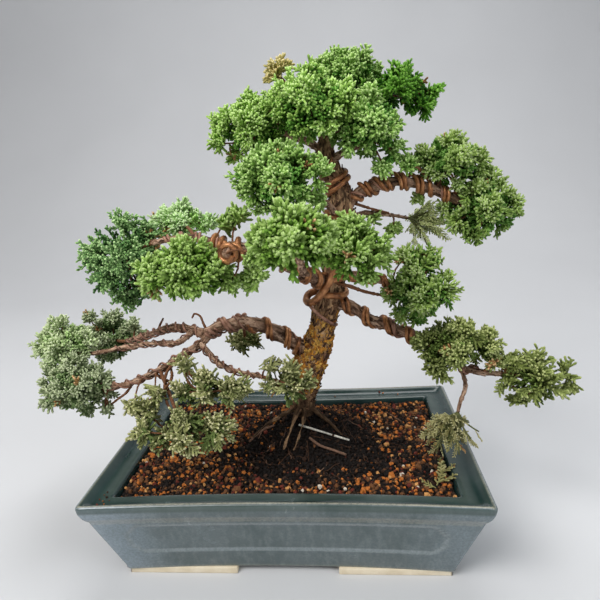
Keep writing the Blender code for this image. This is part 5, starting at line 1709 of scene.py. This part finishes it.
def clumps_of(mass, habit, rng):
    """Centres and radii of the clumps that make up a mass, by even directions from its heart."""
    heart, half = Vector(mass.centre), Vector(mass.half)
    size = min(1.0, min(half) / 20.0)
    share = 1 - habit.clump * size / (sum(half) / 3)
    area = 4 * math.pi * (half.x * half.y + half.x * half.z + half.y * half.z) / 3
    count = max(5, round(area * max(share, 0.55) ** 2 / habit.pitch / size))
    clumps = []
    for index, spread in enumerate(even_directions(count, rng)):
        main = index < len(MAIN_DIRECTIONS)
        towards = (spread + scatter(rng, 0.05 if main else 0.24)).normalized()
        reach = reach_of(towards, half)
        radius = habit.clump * size * rng.uniform(0.72, 1.16)
        drawn_in = 0.0 if main else rng.uniform(0.0, habit.uneven)
        centre = heart + reach * max(0.12, 1.0 - drawn_in - 0.93 * radius / reach.length)
        clumps.append((centre, radius, reach.normalized()))
    return clumps


def side_tufts_of(name, paths, twigs):
    """The tufts beside a mass, each on a twig from the nearest limb or from the mass's heart."""
    heart = Vector(MASSES[name].centre)
    tufts = []
    for centre, radius in SIDE_TUFTS.get(name, ()):
        centre = Vector(centre)
        start = heart
        for path in paths.values():
            offset = path.nearest(np.array([tuple(centre)]))[3][0]
            if np.linalg.norm(offset) < (centre - start).length:
                start = centre - Vector(offset)
        bow = (centre - start).cross(Vector((0.4, 1.0, 0.3))) * TUFT_BOW
        twigs.add_twig(start, centre, bow, (0.8, 0.5), 5, 0)
        tufts.append((centre, radius, (centre - start).normalized()))
    return tufts


def grow_spray(rows, centre, towards, reach, habit, length, shade, twigs, rng):
    """A few sprigs side by side at the end of one fine twig, so that gaps stay between the sprays."""
    knot = centre + towards * max(reach - 1.2 * length, 0.2 * reach)
    if (knot - centre).length > 2.0:
        twigs.add_twig(centre, knot, scatter(rng, 0.3), (0.42, 0.34), 3, 1, 2)
    for _ in range(rng.choice((2, 3, 3, 4, 5))):
        size = habit.size * rng.uniform(0.82, 1.14)
        aside = scatter(rng, SPRAY_SPREAD)
        foot = centre + towards * (reach - length * size) * rng.uniform(0.88, 1.04) + aside
        forward = (towards + aside * 0.09 + Vector((0, 0, habit.lift * 0.7)) + scatter(rng, 0.2)).normalized()
        rows.append((foot, forward, size, shade + rng.gauss(0, 0.10)))


def grow_clump(rows, clump, habit, length, twigs, rng):
    """Sprays that fan out from a clump's own heart, some of them shooting past it."""
    centre, radius, outward = clump
    axis = (outward + Vector((0, 0, habit.lift)) + scatter(rng, 0.15)).normalized()
    side = axis.orthogonal().normalized()
    other = axis.cross(side)
    closing = 1 - math.cos(math.radians(habit.span))
    sprays = max(4, round(math.tau * radius ** 2 * closing / habit.area / SPRAY_SPRIGS))
    turn = rng.uniform(0, math.tau)
    shade = rng.gauss(0, 0.10)
    for index in range(sprays):
        cosine = 1 - closing * (index + 0.3) / sprays
        sine = math.sqrt(max(0.0, 1 - cosine * cosine))
        angle = turn + GOLDEN_TURN * index
        towards = axis * cosine + turned(side, other, angle) * sine
        towards = (towards + scatter(rng, 0.16)).normalized()
        reach = radius * rng.uniform(0.86, 1.08)
        if rng.random() < SHOOT_SHARE:
            reach += rng.uniform(1.5, 4.5)
        grow_spray(rows, centre, towards, reach, habit, length, shade + rng.gauss(0, 0.15), twigs, rng)


def grow_fan(name, paths, families, leaves, twigs):
    """Bent ribs that spread from the end of the carrying twig, with lacy sprays to both sides."""
    mass = MASSES[name]
    rng = random.Random(f"{SEED} {mass.centre}")
    habit = HABITS[mass.habit]
    heart, half = Vector(mass.centre), Vector(mass.half)
    start = paths[mass.carrier].at(mass.share)[0]
    rows = []
    for towards in even_directions(FAN_RIBS, rng):
        reach = reach_of(towards, half)
        end = heart + reach * rng.uniform(0.72, 0.98)
        if (end - start).normalized().dot((heart - start).normalized()) < 0.2:
            continue
        lift = (heart - (start + end) / 2) * 0.18 + Vector((0, 0, 1.5))
        twigs.add_twig(start, end, lift, (0.85, 0.5), 5, 1, 7)
        shade = 0.25 + rng.gauss(0, 0.2)
        axis = (end - start).normalized()
        across = axis.cross(Vector((0, 0, 1))).normalized()
        count = max(3, round((end - start).length / FAN_PITCH))
        for step in range(count):
            t = 0.25 + 0.75 * step / (count - 1)
            foot = start.lerp(end, t) + lift * 4 * t * (1 - t)
            aside = across * (1 if step % 2 else -1) + scatter(rng, 0.45)
            forward = (axis * 0.9 + aside * (1.05 - 0.6 * t) + Vector((0, 0, -0.12))).normalized()
            rows.append((foot, forward, habit.size * rng.uniform(0.6, 0.95) * (1.1 - 0.35 * t), shade))
        rows.append((end, axis, habit.size * 0.7, shade + 0.2))
    place_sprigs(mass, rows, [(heart, min(half), Vector((0, 0, 1)))], [], paths, families, leaves, rng)


def grow_mass(name, paths, families, leaves, twigs):
    """Clumps on twigs from the heart of a mass, more beside it, and sprigs of painted shade inside."""
    mass = MASSES[name]
    if mass.habit == "fan":
        return grow_fan(name, paths, families, leaves, twigs)
    rng = random.Random(f"{SEED} {mass.centre}")
    habit = HABITS[mass.habit]
    length = families[habit.family][1]
    heart = Vector(mass.centre)
    add_stem(mass, paths, twigs)
    rows = []
    clumps = clumps_of(mass, habit, rng)
    for clump in clumps:
        twigs.add_twig(heart, clump[0], scatter(rng, 1.4), (0.8, 0.5), 5, 0)
    tufts = side_tufts_of(name, paths, twigs)
    for clump in clumps + tufts:
        grow_clump(rows, clump, habit, length, twigs, rng)
    # painted shade: sprigs in the heart of the mass, given the darkest tone
    for _ in range(round(len(rows) * habit.inner)):
        towards = scatter(rng).normalized()
        reach = reach_of(towards, mass.half)
        rows.append((heart + reach * rng.uniform(0.1, 0.42), towards, habit.size, -0.6))
    place_sprigs(mass, rows, clumps, tufts, paths, families, leaves, rng)


def place_sprigs(mass, rows, clumps, tufts, paths, families, leaves, rng):
    """Leaves out sprigs that meet a limb or leave the mass, and deals the tones of painted light and shade
    out by depth and by pointing up.
    """
    habit = HABITS[mass.habit]
    shapes, length = families[habit.family]
    feet = np.array([tuple(row[0]) for row in rows])
    forwards = np.array([tuple(row[1]) for row in rows])
    sizes = np.array([row[2] for row in rows])
    flat = habit.family in ("frond", "finger")
    facing = FAN_ROLL if habit.family == "frond" else 0.0
    frames = [level_frame(row[1], rng.gauss(facing, 0.45)) if flat
              else frame_along(row[1], rng.uniform(0, math.tau)) for row in rows]
    tips = feet + forwards * sizes[:, None] * length * 0.92
    middles = feet + forwards * sizes[:, None] * length * 0.45
    centres = np.array([tuple(clump[0]) for clump in clumps + tufts])
    radii = np.array([clump[1] for clump in clumps + tufts])
    inside = np.linalg.norm(tips[:, None] - centres[None], axis=2) / radii[None]
    buried = np.sort(inside, axis=1)[:, 0]
    depth = depth_in(mass, tips)
    # painted light and shade: sprigs far out in the mass and in their clump, and those pointing up, get
    # lighter tones, deep ones darker
    light = DEPTH_LIGHT * np.clip((depth - 0.55) / 0.4, 0, 1)
    light = light + CLUMP_LIGHT * np.clip((buried - 0.5) / 0.45, 0, 1)
    light += UPWARD_LIGHT * forwards[:, 2] + np.array([row[3] for row in rows]) - LIGHT_LOSS
    tones = 2 * np.digitize(light, SHADE_LIMITS)
    tones[np.array([rng.random() for _ in rows]) < DEAD_SHARE] += 6
    keep = in_own_space(mass, tips, tufts) & clear_of(paths.values(), tips, LIMB_ROOM)
    keep &= clear_of(paths.values(), middles, LIMB_ROOM) & clear_of(paths.values(), feet, 0.2)
    for place in DEAD_PLACES:
        away = np.linalg.norm(tips - np.array(place), axis=1) + 1e3 * ~keep
        if away.min() < 12:
            tones[away.argmin()] = tones[away.argmin()] % 6 + 6
    kinds = np.array([rng.randrange(SPRIG_KINDS) for _ in rows])
    frames = np.array(frames)
    for kind, shape in enumerate(shapes):
        chosen = keep & (kinds == kind)
        leaves.add_copies(shape, feet[chosen], frames[chosen], sizes[chosen], tones[chosen])


def grow_dry_tuft(paths, families, leaf_sets, twigs):
    """One small tuft at the top left whose scale leaves have turned tan."""
    host, centre, radius, palette = DRY_TUFT
    mass = MASSES[host]._replace(palette=palette)
    rng = random.Random(SEED + 9)
    heart, centre = Vector(mass.centre), Vector(centre)
    twigs.add_twig(heart, centre, Vector((-1, 0, 1)), (0.9, 0.6), 5, 0)
    tuft = (centre, radius, (centre - heart).normalized())
    rows = []
    grow_clump(rows, tuft, HABITS["cushion"], families["tuft"][1], twigs, rng)
    leaves = Batch()
    place_sprigs(mass, rows, [tuft], [tuft], paths, families, leaves, rng)
    stands_for(leaves.make("dry_tuft_leaves", leaf_sets[palette] + leaf_sets["dead"]), "foliage")


def make_foliage(paths, wood, leaf_sets):
    """Every mass of foliage, its leaves in a piece of their own and all the twigs in another."""
    families = sprig_shapes()
    twigs = Batch()
    add_bare_twigs(twigs)
    total = 0
    for name, mass in MASSES.items():
        leaves = Batch()
        grow_mass(name, paths, families, leaves, twigs)
        total += leaves.triangles()
        print(name, leaves.triangles(), "triangles")
        foliage = leaves.make(name + "_leaves", leaf_sets[mass.palette] + leaf_sets["dead"])
        stands_for(foliage, "foliage", name)
    grow_dry_tuft(paths, families, leaf_sets, twigs)
    print("leaves", total, "twigs", twigs.triangles())
    stands_for(twigs.make("fine_twigs", wood), "bark")


# Stage, light and camera

def make_stage():
    """A pale floor that runs up behind the tree in one sweep."""
    deselect_all()
    bpy.ops.mesh.primitive_plane_add(size=1.0, location=(0, 0, 0))
    floor = bpy.context.active_object
    floor.name = "pale_floor"
    for vert in floor.data.vertices:
        vert.co.x *= 8.0
        vert.co.y = -4.0 if vert.co.y < 0 else 1.6
    bpy.ops.object.mode_set(mode="EDIT")
    bm = bmesh.from_edit_mesh(floor.data)
    for edge in bm.edges:
        edge.select_set(all(vert.co.y > 1.0 for vert in edge.verts))
    bmesh.update_edit_mesh(floor.data)
    bpy.ops.mesh.extrude_region_move(TRANSFORM_OT_translate={"value": (0, 0, 3.5)})
    bpy.ops.object.mode_set(mode="OBJECT")
    sweep = floor.modifiers.new("sweep", "BEVEL")
    sweep.width = 0.9
    sweep.segments = 16
    apply_modifiers(floor)
    paper = new_material("pale_floor", roughness=0.7, specular=0.2)
    mottle = noise_of(paper, object_place(paper), 3.0, 2.0)
    set_input(paper, "Base Color", ramp_of(paper, mottle, ((0.3, (0.60, 0.61, 0.63)),
                                                           (0.7, (0.63, 0.64, 0.66)))))
    dress(floor, paper)


def add_light(name, place, power, size, colour):
    light = bpy.data.lights.new(name, "AREA")
    light.energy = power
    light.size = size
    light.color = colour
    item = bpy.data.objects.new(name, light)
    item.location = place
    item.rotation_euler = (Vector(LIGHT_AIM) - Vector(place)).to_track_quat("-Z", "Y").to_euler()
    bpy.context.scene.collection.objects.link(item)


def make_light():
    for light in LIGHTS:
        add_light(*light)
    world_light = bpy.context.scene.world or bpy.data.worlds.new("studio")
    bpy.context.scene.world = world_light
    world_light.use_nodes = True
    background = world_light.node_tree.nodes["Background"]
    background.inputs["Color"].default_value = (0.92, 0.95, 1.0, 1.0)
    background.inputs["Strength"].default_value = 0.8
    bpy.context.scene.view_settings.view_transform = "Standard"


def make_camera():
    """The photograph's view, worked out from the corners of the pot."""
    yaw, pitch, roll = (math.radians(angle) for angle in CAMERA_ANGLES)
    forward = Vector((math.sin(yaw) * math.cos(pitch), math.cos(yaw) * math.cos(pitch), -math.sin(pitch)))
    level = Vector((math.cos(yaw), -math.sin(yaw), 0))
    upright = level.cross(forward)
    right = level * math.cos(roll) + upright * math.sin(roll)
    up = upright * math.cos(roll) - level * math.sin(roll)
    camera = bpy.data.cameras.new("camera")
    camera.lens = LENS
    camera.sensor_width = SENSOR
    item = bpy.data.objects.new("camera", camera)
    columns = Matrix((right, up, -forward)).transposed().to_4x4()
    item.matrix_world = Matrix.Translation(world(CAMERA_PLACE)) @ columns
    bpy.context.scene.collection.objects.link(item)
    bpy.context.scene.camera = item


def build():
    make_camera()
    make_light()
    make_stage()
    make_pot(glaze_material())
    make_feet(clay_material())
    # painted shade: the bed under the grains is near black, so that the gaps between them read dark
    make_soil(grain_material("shaded_earth", (0.020, 0.013, 0.010), 0.75))
    make_grains([grain_material(name, colour) for name, colour in GRAIN_COLOURS])
    paths = lay_out_limbs(RING_SPACING)
    rng = np.random.default_rng(SEED + 1)
    scales = flake_shapes(5, random.Random(SEED))
    flakes = Batch()
    make_trunk(paths, bark_material("trunk_bark", *TRUNK_BARK, BURL_CRUST), flakes, scales, rng)
    make_boughs(paths, bark_material("bough_bark", *BOUGH_BARK), flakes, scales, rng)
    loose = flakes.make("loose_bark", [flake_material(name, colour) for name, colour in FLAKE_COLOURS])
    stands_for(loose, "bark")
    print("flakes", flakes.triangles())
    make_wires(paths, {name: wire_material(name + "_wire", *finish)
                       for name, finish in WIRE_FINISHES.items()})
    wood = [grain_material("twig_bark", (0.200, 0.090, 0.045)),
            leaf_material("green_twig", (0.120, 0.130, 0.050))]
    leaf_sets = {palette: [leaf_material(f"{palette}_{part}_{tone}", colour)
                           for tone, pair in enumerate(tones) for part, colour in zip(("body", "tip"), pair)]
                 for palette, tones in PALETTES.items()}
    make_foliage(paths, wood, leaf_sets)
    dry_wood = [grain_material("dry_root", (0.070, 0.036, 0.022)),
                grain_material("pale_root", (0.190, 0.110, 0.075))]
    make_litter(dry_wood, grain_material("peeled_wood", (0.760, 0.720, 0.640)), leaf_sets["ashen"])


build()
